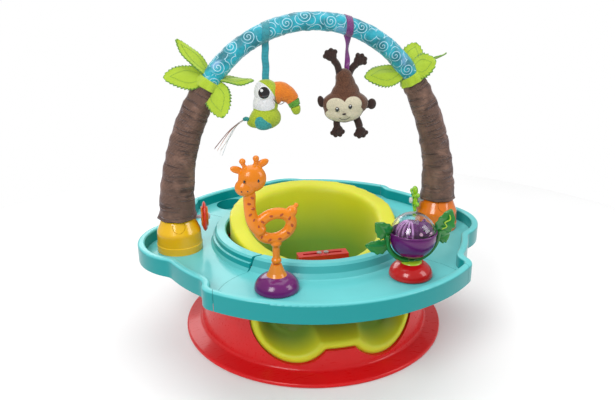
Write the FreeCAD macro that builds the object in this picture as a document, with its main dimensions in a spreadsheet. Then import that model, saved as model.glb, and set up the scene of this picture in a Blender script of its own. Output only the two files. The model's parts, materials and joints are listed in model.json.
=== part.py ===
"""Floor activity seat: a red base with a foam seat, a tray that turns round it, and a toy bar.

Millimetres. The origin is the centre of the base on the floor, +Z is up and -Y is the front,
where the child's legs come out. Every size is a cell of the sheet "Sizes".
"""
import FreeCAD, Part
import Sketcher
import math
import os
import re

from FreeCAD import Placement, Rotation, Vector

os.makedirs("parts", exist_ok=True)
doc = FreeCAD.newDocument("activity_seat")

X_AXIS, Y_AXIS, Z_AXIS = Vector(1, 0, 0), Vector(0, 1, 0), Vector(0, 0, 1)

SIZES = [
    # base
    ("flange_radius", 215, "outer radius of the foot flange"),
    ("flange_lift", 1.5, "flange above the floor, on its pads"),
    ("flange_edge", 6, "height of the flange's outer edge"),
    ("foot_radius", 187, "drum radius where it meets the flange"),
    ("foot_rise", 13, "height where the drum meets the flange"),
    ("drum_radius", 178, "drum radius under the deck"),
    ("deck_radius", 184, "outer radius of the deck on the drum"),
    ("deck_height", 132, "top of the deck"),
    ("deck_lip", 8, "height of the deck's edge"),
    ("shell_wall", 4, "wall of the base shell"),
    ("neck_radius", 147, "outer radius of the neck that the tray turns on"),
    ("neck_height", 141, "top of the neck"),
    ("floor_plate_z", 8, "underside of the base's floor plate"),
    ("floor_plate_wall", 4, "thickness of the base's floor plate"),
    ("leg_cut_radius", 58, "radius of each lobe of the front cut-out"),
    ("leg_cut_x", 68, "centre of each lobe"),
    ("leg_cut_z", 78, "height of the lobes' centres"),
    ("saddle_z", 42.5, "height of the saddle between the lobes"),
    ("leg_cut_top", 118, "top of the front cut-out"),
    ("pad_radius", 9, "radius of a foot pad"),
    ("pad_height", 5, "height of a foot pad"),
    ("pad_count", 6, "foot pads"),
    # seat
    ("seat_gap", 1.2, "clearance between the foam and the base"),
    ("rim_radius", 136.5, "outer radius of the foam above the tray"),
    ("bucket_radius", 106, "inner radius of the seat bucket"),
    ("bucket_floor", 58, "height of the seat's floor"),
    ("seat_back_z", 202, "top of the foam at the back"),
    ("seat_mid_z", 188, "top of the foam at the sides"),
    ("seat_front_z", 150, "top of the foam at the front"),
    ("leg_hole_radius", 33, "radius of each leg hole"),
    ("leg_hole_x", 62, "centre of each leg hole"),
    ("leg_hole_z", 80, "height of the leg holes' centres"),
    ("pommel_width", 44, "width of the pommel between the legs"),
    ("belt_bar_length", 80, "length of the slotted belt bar"),
    ("belt_bar_depth", 20, "depth of the belt bar"),
    ("belt_bar_height", 12, "height of the belt bar"),
    ("belt_bar_top", 144, "top of the belt bar"),
    ("belt_bar_y", 66, "distance of the belt bar in front of the centre"),
    ("belt_slot_length", 22, "length of a belt slot"),
    ("belt_slot_width", 5, "width of a belt slot"),
    # tray
    ("front_radius", 272, "outer radius of the front section"),
    ("back_radius", 262, "outer radius of the back section"),
    ("valley_radius", 250, "outer radius between the sections and the lobes"),
    ("lobe_x", 190, "centre of a side lobe from the middle"),
    ("lobe_y", 8, "centre of a side lobe in front of the middle"),
    ("lobe_radius", 91, "radius of a side lobe"),
    ("bump_radius", 60, "radius of the rear bump"),
    ("outline_round", 24, "rounding of the outline's corners"),
    ("half_span", 47, "half angle of the front and back sections, degrees"),
    ("tray_floor_z", 146, "top of the tray's floor"),
    ("tray_wall_z", 165, "top of the tray's outer wall"),
    ("tray_skirt_z", 137, "lower edge of the tray's outer wall"),
    ("tray_plate", 3, "thickness of the tray's floor"),
    ("tray_shell", 2.5, "moulded wall of the tray"),
    ("tray_rim", 11, "width of the tray's outer rim"),
    ("rim_round", 3.5, "rounding of the rim"),
    ("collar_radius", 140, "inner radius of the collar at front and back"),
    ("side_collar_radius", 143, "inner radius of the collar at the sides"),
    ("collar_foot", 168, "outer radius of the collar's foot"),
    ("collar_z", 167, "top of the collar"),
    ("seam_x", 74, "centre of a seam's curve from the middle"),
    ("seam_y", 207, "centre of a seam's curve in front of the middle"),
    ("seam_radius", 106.5, "radius of a seam's curve"),
    ("seam_gap", 0.5, "gap at a seam"),
    ("cup_radius", 31, "radius of the snack cup"),
    ("cup_reach", 219.5, "distance of the snack cup from the middle"),
    ("cup_angle", 31, "angle of the snack cup from the back, degrees"),
    ("cup_depth", 22, "depth of the snack cup"),
    ("ring_gap", 0.5, "running clearance of the swivel ring"),
    ("ring_width", 22, "width of the swivel ring"),
    ("glide_height", 3.8, "height of a glide pad"),
    ("clip_grip", 2.5, "how far a retainer clip reaches under the deck"),
    ("screw_radius", 2, "radius of a screw's shank"),
    ("screw_head", 4, "radius of a screw's head"),
    # palm bases and toy bar
    ("palm_radius", 35.5, "radius of a palm base"),
    ("palm_height", 56, "height of a palm base"),
    ("palm_seam", 11, "height of the parting line on a palm base"),
    ("crown_radius", 187, "radius of the toy bar's crown"),
    ("crown_z", 303, "height of the crown's centre"),
    ("hub_angle", 57.5, "angle of a palm's top from the crown's middle, degrees"),
    ("foot_x", 216.7, "distance of a palm from the middle"),
    ("tube_radius", 11, "radius of the toy bar's tube"),
    ("tube_wall", 2, "wall of the toy bar's tube"),
    ("plug_radius", 13, "radius of a plug on the toy bar"),
    ("plug_bottom", 164, "lower end of a plug"),
    ("plug_top", 204, "upper end of a plug"),
    ("plug_web", 20, "solid length at the lower end of a plug"),
    ("plug_gap", 0.3, "clearance of a plug in its socket"),
    ("sleeve_radius", 14.5, "radius of the printed sleeve"),
    ("trunk_bottom_radius", 27.5, "trunk radius at its hem"),
    ("trunk_mid_radius", 23.5, "trunk radius at mid height"),
    ("trunk_top_radius", 18, "trunk radius under the leaves"),
    ("trunk_bottom_z", 205, "height of the trunk's hem"),
    ("leaf_width", 34, "width of a felt leaf"),
    ("leaf_thick", 2.4, "thickness of a felt leaf"),
    ("leaf_start", 21.4, "start of a leaf from the bar's centre line"),
    ("tab_radius", 9, "radius of a release tab"),
    ("tab_z", 191, "height of a release tab"),
    ("tab_back", 19, "rear face of a release tab from the palm's axis"),
    ("tab_gap", 0.5, "gap round a release tab"),
    ("tab_room", 2.6, "room behind a release tab for its press"),
    # spinners
    ("pin_radius", 3, "radius of a spinner's pin"),
    ("pin_gap", 0.06, "running clearance on a pin"),
    ("spinner_z", 196, "height of the spinners' pins"),
    ("spinner_half_height", 25, "half height of the left spinner"),
    ("spinner_half_width", 18, "half width of the left spinner"),
    ("spinner_thick", 9, "thickness of a spinner"),
    ("gear_radius", 18, "radius of the right spinner"),
    # suction toys
    ("toy_y", 174.6, "distance of the suction toys in front of the middle"),
    ("giraffe_x", 91, "distance of the giraffe to the left of the middle"),
    ("beet_x", 104, "distance of the beet to the right of the middle"),
    ("suction_radius", 31.5, "radius of a suction base"),
    ("suction_height", 19, "height of a suction base"),
    ("cone_radius", 14.3, "radius of the giraffe's cone foot"),
    ("cone_height", 18, "height of the giraffe's cone foot"),
    ("rock_pin_radius", 2, "radius of the pin that the giraffe's foot rocks on"),
    ("rock_z", 160.7, "height of that pin"),
    ("cone_gap", 2.75, "gap under the cone foot that lets it rock"),
    ("body_ring_radius", 19, "centre-line radius of the giraffe's ring body"),
    ("body_ring_tube", 6.5, "tube radius of the giraffe's ring body"),
    ("beet_radius", 33.5, "radius of the beet"),
    ("beet_z", 208, "height of the beet's axle"),
    ("beet_shell", 2, "wall of the beet's two halves"),
    ("axle_radius", 2.5, "radius of the beet's axle"),
    ("arm_gap", 2, "gap between the beet and its fork"),
    # hanging toys
    ("toucan_x", 73, "distance of the toucan's loop to the left of the middle"),
    ("monkey_x", 53, "distance of the monkey's loop to the right of the middle"),
    ("strap_width", 13, "width of a hanging strap"),
    ("strap_thick", 1.6, "thickness of a hanging strap"),
    ("loop_gap", 0.6, "clearance of a strap's loop on the sleeve"),
    ("toucan_strap_end", 409, "lower end of the toucan's strap"),
    ("monkey_strap_end", 420, "lower end of the monkey's strap"),
]

sheet = doc.addObject("Spreadsheet::Sheet", "Sizes")
for row, (alias, value, note) in enumerate(SIZES, start=1):
    sheet.set(f"A{row}", alias)
    sheet.set(f"B{row}", str(value))
    sheet.set(f"C{row}", note)
    sheet.setAlias(f"B{row}", alias)
doc.recompute()

ALIASES = {alias for alias, _, _ in SIZES}
PARTS = []


def cells(expression):
    """Return the expression with each alias written as a cell of the sheet."""
    return re.sub(r"[a-z][a-z0-9_]*",
                  lambda word: f"Sizes.{word.group()}" if word.group() in ALIASES else word.group(),
                  str(expression))


def size(expression):
    """Return the number that an expression of the sheet's sizes comes to."""
    return float(sheet.evalExpression(cells(expression)))


def bind(thing, **properties):
    """Bind properties of a document object to expressions of the sheet's sizes."""
    for name, expression in properties.items():
        thing.setExpression(name.replace("__", "."), cells(expression))


def place(thing, x="0", y="0", z="0", turn=None):
    """Turn an object and bind its position to the sheet."""
    thing.Placement = Placement(Vector(size(x), size(y), size(z)), turn or Rotation())
    bind(thing, Placement__Base__x=x, Placement__Base__y=y, Placement__Base__z=z)
    return thing


def part(thing, label):
    """Name an object as a piece of the seat, to be written to its own file."""
    thing.Label = label
    PARTS.append(thing)
    return thing


# ---- modelling helpers ------------------------------------------------------------------

def origin_plane(body, role):
    """Return the origin plane of a body by its role."""
    return next(plane for plane in body.Origin.OriginFeatures if plane.Role == role)


def profile(body, name, role, corners):
    """Sketch a closed outline whose corners are bound to the sheet."""
    sketch = body.newObject("Sketcher::SketchObject", name)
    sketch.AttachmentSupport = [(origin_plane(body, role), "")]
    sketch.MapMode = "FlatFace"
    points = [Vector(size(u), size(v), 0) for u, v in corners]
    count = len(points)
    for i in range(count):
        sketch.addGeometry(Part.LineSegment(points[i], points[(i + 1) % count]), False)
    for i in range(count):
        sketch.addConstraint(Sketcher.Constraint("Coincident", i, 2, (i + 1) % count, 1))
    for i, (u, v) in enumerate(corners):
        for kind, axis, value, expression in (("DistanceX", -2, points[i].x, u),
                                              ("DistanceY", -1, points[i].y, v)):
            if str(expression) == "0":
                sketch.addConstraint(Sketcher.Constraint("PointOnObject", i, 1, axis))
                continue
            index = sketch.addConstraint(Sketcher.Constraint(kind, -1, 1, i, 1, value))
            sketch.setExpression(f"Constraints[{index}]", cells(expression))
    return sketch


def turned(name, corners, rounds=()):
    """Make a body by turning an outline of (radius, height) corners about its own Z axis.

    Each entry of rounds is (radius, height, rounding) for the edge at that corner.
    """
    body = doc.addObject("PartDesign::Body", name)
    sketch = profile(body, name + "_outline", "XZ_Plane", corners)
    solid = body.newObject("PartDesign::Revolution", name + "_turned")
    solid.Profile = sketch
    solid.ReferenceAxis = (sketch, ["V_Axis"])
    solid.Angle = 360
    doc.recompute()
    for number, (radius, height, rounding) in enumerate(rounds):
        solid = round_edge(body, solid, f"{name}_round{number}", radius, height, rounding)
    return body


def round_edge(body, base, name, radius, height, rounding):
    """Round the circular edge of a turned body that lies at a radius and a height."""
    wanted = (size(radius), size(height))
    edges = []
    for number, edge in enumerate(base.Shape.Edges, start=1):
        if not isinstance(edge.Curve, Part.Circle):
            continue
        if math.dist((edge.Curve.Radius, edge.Curve.Center.z), wanted) < 0.05:
            edges.append(f"Edge{number}")
    fillet = body.newObject("PartDesign::Fillet", name)
    fillet.Base = (base, edges)
    fillet.Radius = size(rounding)
    bind(fillet, Radius=rounding)
    doc.recompute()
    return fillet


def cylinder(name, radius, height, x="0", y="0", z="0", along=Z_AXIS):
    """Make a cylinder whose first face is centred at a point and whose axis runs along."""
    solid = doc.addObject("Part::Cylinder", name)
    bind(solid, Radius=radius, Height=height)
    return place(solid, x, y, z, Rotation(Z_AXIS, along))


def cone(name, radius, top_radius, height, x="0", y="0", z="0", along=Z_AXIS):
    """Make a cone that stands on a point and narrows along a direction."""
    solid = doc.addObject("Part::Cone", name)
    bind(solid, Radius1=radius, Radius2=top_radius, Height=height)
    return place(solid, x, y, z, Rotation(Z_AXIS, along))


def box(name, low, high):
    """Make a box between two corners given as expressions."""
    solid = doc.addObject("Part::Box", name)
    bind(solid, **{side: f"({b}) - ({a})" for side, a, b in zip(("Length", "Width", "Height"), low, high)})
    return place(solid, *low)


def ball(name, radius, x="0", y="0", z="0"):
    """Make a sphere about a point."""
    solid = doc.addObject("Part::Sphere", name)
    bind(solid, Radius=radius)
    return place(solid, x, y, z)


def egg(name, half_sizes, centre, turn=None):
    """Make an ellipsoid of three half sizes about a point."""
    solid = doc.addObject("Part::Ellipsoid", name)
    solid.Angle1, solid.Angle2, solid.Angle3 = -90, 90, 360
    bind(solid, Radius2=half_sizes[0], Radius3=half_sizes[1], Radius1=half_sizes[2])
    return place(solid, *centre, turn)


def hoop(name, radius, tube, x="0", y="0", z="0", along=Z_AXIS):
    """Make a torus about a point."""
    solid = doc.addObject("Part::Torus", name)
    bind(solid, Radius1=radius, Radius2=tube)
    return place(solid, x, y, z, Rotation(Z_AXIS, along))


def joined(name, *solids):
    """Fuse objects into one solid."""
    fuse = doc.addObject("Part::MultiFuse", name)
    fuse.Shapes = list(solids)
    fuse.Refine = True
    return fuse


def grouped(name, *solids):
    """Keep separate solids of the same kind in one object."""
    group = doc.addObject("Part::Compound", name)
    group.Links = list(solids)
    return group


def minus(name, base, *tools):
    """Cut tools from an object."""
    cut = doc.addObject("Part::Cut", name)
    cut.Base = base
    cut.Tool = tools[0] if len(tools) == 1 else joined(name + "_tools", *tools)
    return cut


def shared(name, first, second):
    """Keep what two objects share."""
    common = doc.addObject("Part::Common", name)
    common.Base, common.Tool = first, second
    return common


def shape_object(name, shape):
    """Hold a shape made with Part's own functions."""
    feature = doc.addObject("Part::Feature", name)
    feature.Shape = shape
    return feature


def screw(name, x, y, z, length, along=Z_AXIS):
    """Make a pan-head screw whose head's underside is at a point, with its shank along."""
    shank = cylinder(name + "_shank", "screw_radius", length, x, y, z, along)
    head = cylinder(name + "_head", "screw_head", "screw_head / 2", x, y, z, along * -1)
    return joined(name, shank, head)


def around(radius, degrees):
    """Return the x and y expressions of a point on a circle, the angle counted from +X."""
    return f"({radius}) * cos({degrees})", f"({radius}) * sin({degrees})"


# ---- base -------------------------------------------------------------------------------

def make_base():
    """Make the red base, its floor, feet and screws, and the glides under the tray."""
    shell = turned("base_drum", [
        ("foot_radius - 14", "flange_lift"), ("flange_radius", "flange_lift"),
        ("flange_radius", "flange_edge"), ("foot_radius + 2", "foot_rise"),
        ("drum_radius", "deck_height - deck_lip"), ("deck_radius", "deck_height - deck_lip"),
        ("deck_radius", "deck_height"), ("neck_radius", "deck_height"),
        ("neck_radius", "neck_height"), ("neck_radius - shell_wall", "neck_height"),
        ("neck_radius - shell_wall", "deck_height - shell_wall"),
        ("drum_radius - shell_wall", "deck_height - shell_wall"),
        ("foot_radius - shell_wall", "foot_rise"), ("foot_radius - 14", "foot_rise"),
    ], [("flange_radius", "flange_edge", "3"), ("foot_radius + 2", "foot_rise", "5"),
        ("deck_radius", "deck_height", "2")])

    lobes = [cylinder(f"leg_lobe{side}", "leg_cut_radius", "flange_radius", f"{side} * leg_cut_x",
                      "0", "leg_cut_z", Y_AXIS * -1) for side in (-1, 1)]
    saddle = box("leg_saddle", ("-leg_cut_x", "-flange_radius", "saddle_z"), ("leg_cut_x", "0", "leg_cut_z"))
    throat = box("leg_throat", ("-leg_cut_x - leg_cut_radius", "-flange_radius", "leg_cut_z"),
                 ("leg_cut_x + leg_cut_radius", "0", "leg_cut_top"))
    lintel = box("leg_lintel", ("-flange_radius", "-flange_radius - 1", "leg_cut_top"),
                 ("flange_radius", "1", "2 * leg_cut_top"))
    opening = minus("leg_opening", joined("leg_lobes", *lobes, saddle, throat), lintel)
    pad_holes, pads, screws = [], [], []
    for number in range(int(size("pad_count"))):
        angle = f"{number} * 360 / pad_count + 30"
        x, y = around("(flange_radius + foot_radius) / 2", angle)
        pad_holes.append(cylinder(f"pad_hole{number}", "pad_radius", "pad_height - flange_lift", x, y,
                                  "flange_lift"))
        pads.append(cylinder(f"pad{number}", "pad_radius", "pad_height - 0.8", x, y, "0"))
        x, y = around("foot_radius - 9", f"{angle} + 30")
        screws.append(screw(f"base_screw{number}", x, y, "floor_plate_z", "floor_plate_wall"))
    cut = minus("base_shell", shell, opening, joined("pad_holes", *pad_holes))
    part(cut, "base_shell")

    plate = turned("floor_plate", [
        ("0", "floor_plate_z"), ("foot_radius - 14.4", "floor_plate_z"),
        ("foot_radius - 14.4", "floor_plate_z + floor_plate_wall"), ("0", "floor_plate_z + floor_plate_wall")])
    part(plate, "base_floor")
    part(grouped("pads", *pads), "foot_pads")

    glides = []
    for number in range(8):
        x, y = around("neck_radius + ring_gap + ring_width / 2", f"{number} * 45")
        glides.append(cylinder(f"glide{number}", "5", "glide_height", x, y, "deck_height"))
    part(grouped("glides", *glides), "glide_pads")
    return screws


def make_seat():
    """Make the foam insert with its bucket, leg holes and pommel, and the belt bar on it."""
    body_radius = "neck_radius - shell_wall - seat_gap"
    rim_step = "neck_height + 1"
    foam = turned("foam", [
        ("0", "floor_plate_z + floor_plate_wall"), (body_radius, "floor_plate_z + floor_plate_wall"),
        (body_radius, rim_step), ("rim_radius", rim_step), ("rim_radius", "seat_back_z + 10"),
        ("0", "seat_back_z + 10")])
    side = doc.addObject("PartDesign::Body", "seat_side")
    outline = profile(side, "seat_side_outline", "YZ_Plane", [
        ("-neck_radius", "1"), ("neck_radius", "1"), ("neck_radius", "seat_back_z + 2"),
        ("rim_radius - 8", "seat_back_z"), ("15", "seat_mid_z"), ("-bucket_radius", "seat_front_z"),
        ("-neck_radius", "seat_front_z - 14")])
    slab = side.newObject("PartDesign::Pad", "seat_side_pad")
    slab.Profile = outline
    slab.Midplane = True
    slab.Length = size("2 * neck_radius")
    bind(slab, Length="2 * neck_radius")
    doc.recompute()
    trimmed = shared("foam_trimmed", foam, side)

    bucket = cone("bucket", "bucket_radius - 8", "bucket_radius + 4", "seat_back_z - bucket_floor + 12",
                  "0", "0", "bucket_floor")
    pommel = box("pommel", ("-pommel_width / 2", "-neck_radius", "1"),
                 ("pommel_width / 2", "-belt_bar_y + belt_bar_depth / 2 + 3", "belt_bar_top - belt_bar_height"))
    holes = [cylinder(f"leg_hole{sign}", "leg_hole_radius", "neck_radius", f"{sign} * leg_hole_x", "0",
                      "leg_hole_z", Y_AXIS * -1) for sign in (-1, 1)]
    seat = minus("seat", trimmed, minus("bucket_room", bucket, pommel), joined("leg_holes", *holes))
    part(seat, "seat_insert")

    low = "belt_bar_top - belt_bar_height"
    bar = box("belt_block", ("-belt_bar_length / 2", "-belt_bar_y - belt_bar_depth / 2", low),
              ("belt_bar_length / 2", "-belt_bar_y + belt_bar_depth / 2", "belt_bar_top"))
    slots = [box(f"belt_slot{sign}", (f"{sign} * belt_bar_length / 4 - belt_slot_length / 2",
                                      "-belt_bar_y - belt_slot_width / 2", f"{low} - 1"),
                 (f"{sign} * belt_bar_length / 4 + belt_slot_length / 2",
                  "-belt_bar_y + belt_slot_width / 2", "belt_bar_top + 1")) for sign in (-1, 1)]
    part(minus("belt_bar_cut", bar, joined("belt_slots", *slots)), "belt_bar")
    return [screw(f"belt_screw{sign}", f"{sign} * pommel_width / 8", "-belt_bar_y", "belt_bar_top", "26",
                  Z_AXIS * -1) for sign in (-1, 1)]


# ---- tray -------------------------------------------------------------------------------

def sector(radius, middle_degrees, half_degrees):
    """Return a flat-ended pie of a disc, about a direction counted from +X."""
    pie = Part.makeCylinder(radius, 1, Vector(), Z_AXIS, 2 * half_degrees)
    pie.rotate(Vector(), Z_AXIS, middle_degrees - half_degrees)
    return pie


def tray_outline():
    """Return the tray's outer outline as a face: front and back arcs, side lobes, rear bump."""
    flat = Part.makeCylinder(size("valley_radius"), 1)
    back_radius, bump = size("back_radius"), size("bump_radius")
    pieces = [sector(size("front_radius"), -90, size("half_span")),
              sector(back_radius, 90, size("half_span")),
              Part.makeCylinder(bump, 1, Vector(0, size("front_radius") - bump, 0))]
    for side in (-1, 1):
        pieces.append(Part.makeCylinder(size("lobe_radius"), 1,
                                        Vector(side * size("lobe_x"), -size("lobe_y"), 0)))
    flat = flat.multiFuse(pieces).removeSplitter()
    outline = next(face for face in flat.Faces if face.normalAt(0, 0).z < -0.5)
    rounding = size("outline_round")
    for step in (rounding, -2 * rounding, rounding):
        outline = outline.makeOffset2D(step)
    return outline


def prism(face, inset, low, high):
    """Return the outline, moved inwards by an inset, as a solid between two heights."""
    flat = face.makeOffset2D(-inset) if inset else face.copy()
    flat.translate(Vector(0, 0, low))
    return flat.extrude(Vector(0, 0, high - low))


def ring_shape(corners):
    """Return the solid that an outline of (radius, height) corners sweeps about the Z axis."""
    points = [Vector(size(radius), 0, size(height)) for radius, height in corners]
    return Part.Face(Part.makePolygon(points + points[:1])).revolve(Vector(), Z_AXIS, 360)


def tray_blank(collar):
    """Return the whole tray, before it is cut into sections, with a collar of a given outline."""
    outline = tray_outline()
    skirt, wall_top, floor_top = size("tray_skirt_z"), size("tray_wall_z"), size("tray_floor_z")
    rim, shell = size("tray_rim"), size("tray_shell")
    blank = prism(outline, 0, skirt, wall_top).cut(prism(outline, rim, floor_top, wall_top + 1))
    top_edges = [edge for edge in blank.Edges
                 if abs(edge.BoundBox.ZMin - wall_top) < 1e-4 and abs(edge.BoundBox.ZMax - wall_top) < 1e-4]
    blank = blank.makeFillet(size("rim_round"), top_edges)
    hollow = prism(outline, shell, skirt - 1, wall_top - size("rim_round"))
    hollow = hollow.cut(prism(outline, rim - shell, skirt - 2, wall_top))
    under = prism(outline, rim - shell, skirt - 1, floor_top - size("tray_plate"))
    blank = blank.cut(hollow).cut(under)
    hole = Part.makeCylinder(size("collar_foot - 3"), 100, Vector(0, 0, skirt - 10))
    return blank.cut(hole).fuse(ring_shape(collar)).removeSplitter()


def seam_region(name, grow, side):
    """Make the region of the front (side -1) or back (side 1) section, grown at its seams."""
    rounds = [cylinder(f"{name}_curve{sign}", f"seam_radius + {grow}", "100", f"{sign} * seam_x",
                       f"{side} * seam_y", "tray_skirt_z - 30") for sign in (-1, 1)]
    near, far = f"seam_y - seam_radius - {grow}", "front_radius + 20"
    low, high = (near, far) if side > 0 else (f"-({far})", f"-({near})")
    middle = box(f"{name}_middle", ("-seam_x", low, "tray_skirt_z - 30"), ("seam_x", high, "tray_skirt_z + 70"))
    return joined(name, *rounds, middle)


def make_tray():
    """Make the four sections of the tray, the snack cup and the swivel parts below them."""
    base_z, top = "tray_floor_z - tray_plate", "collar_z"
    long_collar = [
        ("collar_radius", base_z), ("collar_radius", f"{top} - 2"), ("collar_radius + 2", top),
        ("collar_radius + 14", top), ("collar_radius + 17", f"{top} - 3.5"),
        ("collar_radius + 20.5", f"{top} - 13"), ("collar_foot - 3", "tray_floor_z + 1"),
        ("collar_foot", "tray_floor_z"), ("collar_foot", base_z), ("collar_foot - 6", base_z),
        ("collar_radius + 17.5", f"{top} - 14"), ("collar_radius + 13", f"{top} - 3"),
        ("collar_radius + 3", f"{top} - 3"), ("collar_radius + 3", base_z)]
    side_collar = [
        ("side_collar_radius", base_z), ("side_collar_radius", f"{top} - 1"),
        ("side_collar_radius + 2", f"{top} + 1"), ("side_collar_radius + 15", f"{top} + 1"),
        ("side_collar_radius + 17.5", f"{top} - 2"), ("side_collar_radius + 18", f"{top} - 8"),
        ("side_collar_radius + 21", f"{top} - 9"), ("side_collar_radius + 22", f"{top} - 16"),
        ("collar_foot", "tray_floor_z"), ("collar_foot", base_z), ("collar_foot - 4", base_z),
        ("side_collar_radius + 18.5", f"{top} - 12"), ("side_collar_radius + 15", f"{top} - 10"),
        ("side_collar_radius + 14", f"{top} - 2"), ("side_collar_radius + 3", f"{top} - 2"),
        ("side_collar_radius + 3", base_z)]
    long_blank = shape_object("long_blank", tray_blank(long_collar))
    side_blank = shape_object("side_blank", tray_blank(side_collar))

    front_inner = seam_region("front_inner", "-seam_gap / 2", -1)
    part(shared("front_section", long_blank, front_inner), "tray_front")

    cup_at = around("cup_reach", "90 + cup_angle")
    cup_low = "tray_floor_z - cup_depth"
    back_blank = shared("back_section", long_blank, seam_region("back_inner", "-seam_gap / 2", 1))
    wall = cylinder("cup_wall", "cup_radius + tray_shell", "cup_depth", *cup_at, cup_low)
    room = cylinder("cup_room", "cup_radius", "cup_depth + 20", *cup_at, f"{cup_low} + tray_shell")
    part(minus("back_with_cup", joined("back_and_wall", back_blank, wall), room), "tray_back")

    outer = joined("outer_regions", seam_region("front_outer", "seam_gap / 2", -1),
                   seam_region("back_outer", "seam_gap / 2", 1))
    sides = minus("side_sections", side_blank, outer)
    far = "front_radius + 60"
    for sign, label in ((-1, "tray_left"), (1, "tray_right")):
        low, high = ("-(" + far + ")", "0") if sign < 0 else ("0", far)
        half = box(f"half{sign}", (low, f"-({far})", "0"), (high, far, "300"))
        part(shared(f"{label}_section", sides, half), label)

    ring_inner = "neck_radius + ring_gap"
    ring_low = "deck_height + glide_height + ring_gap"
    ring = turned("ring", [
        (ring_inner, ring_low), (f"{ring_inner} + ring_width", ring_low),
        (f"{ring_inner} + ring_width", base_z), (ring_inner, base_z)])
    part(ring, "swivel_ring")

    clips, screws = [], []
    lip_under = "deck_height - deck_lip - ring_gap"
    for number in range(4):
        clip = box(f"clip_wall{number}", ("deck_radius + 1", "-9", f"{lip_under} - 4"),
                   ("deck_radius + 5", "9", base_z))
        hook = box(f"clip_hook{number}", ("deck_radius - clip_grip", "-9", f"{lip_under} - 4"),
                   ("deck_radius + 2", "9", lip_under))
        flange = box(f"clip_flange{number}", ("deck_radius + 1", "-9", f"{base_z} - 3"),
                     ("deck_radius + 16", "9", base_z))
        clip = joined(f"clip{number}", clip, hook, flange)
        clip.Placement = Placement(Vector(), Rotation(Z_AXIS, 90 * number))
        clips.append(clip)
        x, y = around("deck_radius + 11", f"90 * {number}")
        screws.append(screw(f"clip_screw{number}", x, y, f"{base_z} - 3", "tray_plate - 0.5"))
        for turn in (-24, 24):
            x, y = around(f"{ring_inner} + ring_width - 4", f"90 * {number} + {turn}")
            screws.append(screw(f"ring_screw{number}_{turn + 24}", x, y, ring_low, "9"))
    part(grouped("clips", *clips), "retainer_clips")
    return screws


# ---- palm bases, toy bar and its palms --------------------------------------------------

def make_palm_bases():
    """Make the two moulded palm bases with their release tabs and spinner pins."""
    screws = []
    for sign, side in ((-1, "left"), (1, "right")):
        x = f"{sign} * foot_x"
        dome = turned(f"dome_{side}", [
            ("0", "0"), ("palm_radius", "0"), ("palm_radius", "palm_seam"),
            ("palm_radius - 0.7", "palm_seam + 0.7"), ("palm_radius - 1.5", "palm_height * 0.55"),
            ("palm_radius - 9", "palm_height * 0.88"), ("palm_radius - 16", "palm_height"),
            ("0", "palm_height")],
            [("palm_radius - 1.5", "palm_height * 0.55", "14"), ("palm_radius - 9", "palm_height * 0.88", "9")])
        place(dome, x, "0", "tray_floor_z")
        socket = cylinder(f"socket_{side}", "plug_radius + plug_gap", "60", x, "0", "plug_bottom - 1")
        tab_cut = cylinder(f"tab_cut_{side}", "tab_radius + tab_gap", "palm_radius", x, "-tab_back + tab_room",
                           "tab_z", Y_AXIS * -1)
        pin_reach = "palm_radius - 12"
        pin_hole = cylinder(f"pin_hole_{side}", "pin_radius", "30", f"{x} - {sign} * ({pin_reach})", "0",
                            "spinner_z", X_AXIS * -sign)
        part(minus(f"palm_cut_{side}", dome, socket, tab_cut, pin_hole), f"palm_base_{side}")

        tab_rod = cylinder(f"tab_rod_{side}", "tab_radius", "palm_radius", x, "-tab_back", "tab_z", Y_AXIS * -1)
        dome_copy = place(turned(f"tab_dome_{side}", [
            ("0", "0"), ("palm_radius - 1.3", "0"), ("palm_radius - 1.3", "palm_height * 0.55"),
            ("palm_radius - 9", "palm_height * 0.88"), ("palm_radius - 16", "palm_height"),
            ("0", "palm_height")],
            [("palm_radius - 1.3", "palm_height * 0.55", "14")]), x, "0", "tray_floor_z")
        part(shared(f"tab_{side}", tab_rod, dome_copy), f"release_tab_{side}")

        pin = cylinder(f"pin_{side}", "pin_radius", "12 + spinner_thick + 5", f"{x} - {sign} * ({pin_reach})",
                       "0", "spinner_z", X_AXIS * -sign)
        cap = cylinder(f"pin_cap_{side}", "pin_radius + 2", "2.5",
                       f"{x} - {sign} * (palm_radius + spinner_thick + 1.6)", "0", "spinner_z", X_AXIS * -sign)
        part(joined(f"pin_and_cap_{side}", pin, cap), f"spinner_pin_{side}")
        for depth in (-1, 1):
            screws.append(screw(f"palm_screw_{side}{depth}", x, f"{depth} * 22",
                                "tray_floor_z - tray_plate", "11"))
    part(grouped("palm_screws", *screws), "palm_base_screws")


def bar_point(degrees, sign):
    """Return a point of the crown's centre line, the angle counted from straight up."""
    turn = math.radians(degrees)
    radius = size("crown_radius")
    return Vector(sign * radius * math.sin(turn), 0, size("crown_z") + radius * math.cos(turn))


def side_arc():
    """Return the radius and centre of the arc that joins the crown to the foot, on the right."""
    turn = math.radians(size("hub_angle"))
    crown, foot = size("crown_radius"), size("foot_x")
    radius = (foot - crown * math.sin(turn)) / (1 - math.sin(turn))
    return radius, Vector(foot - radius, 0, size("crown_z") - (radius - crown) * math.cos(turn))


def side_point(share, sign):
    """Return a point of the side arc and its direction, share 0 at the foot and 1 at the hub."""
    radius, centre = side_arc()
    turn = math.radians((90 - size("hub_angle")) * share)
    point = Vector(sign * (centre.x + radius * math.cos(turn)), 0, centre.z + radius * math.sin(turn))
    return point, Vector(-sign * math.sin(turn), 0, math.cos(turn))


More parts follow.
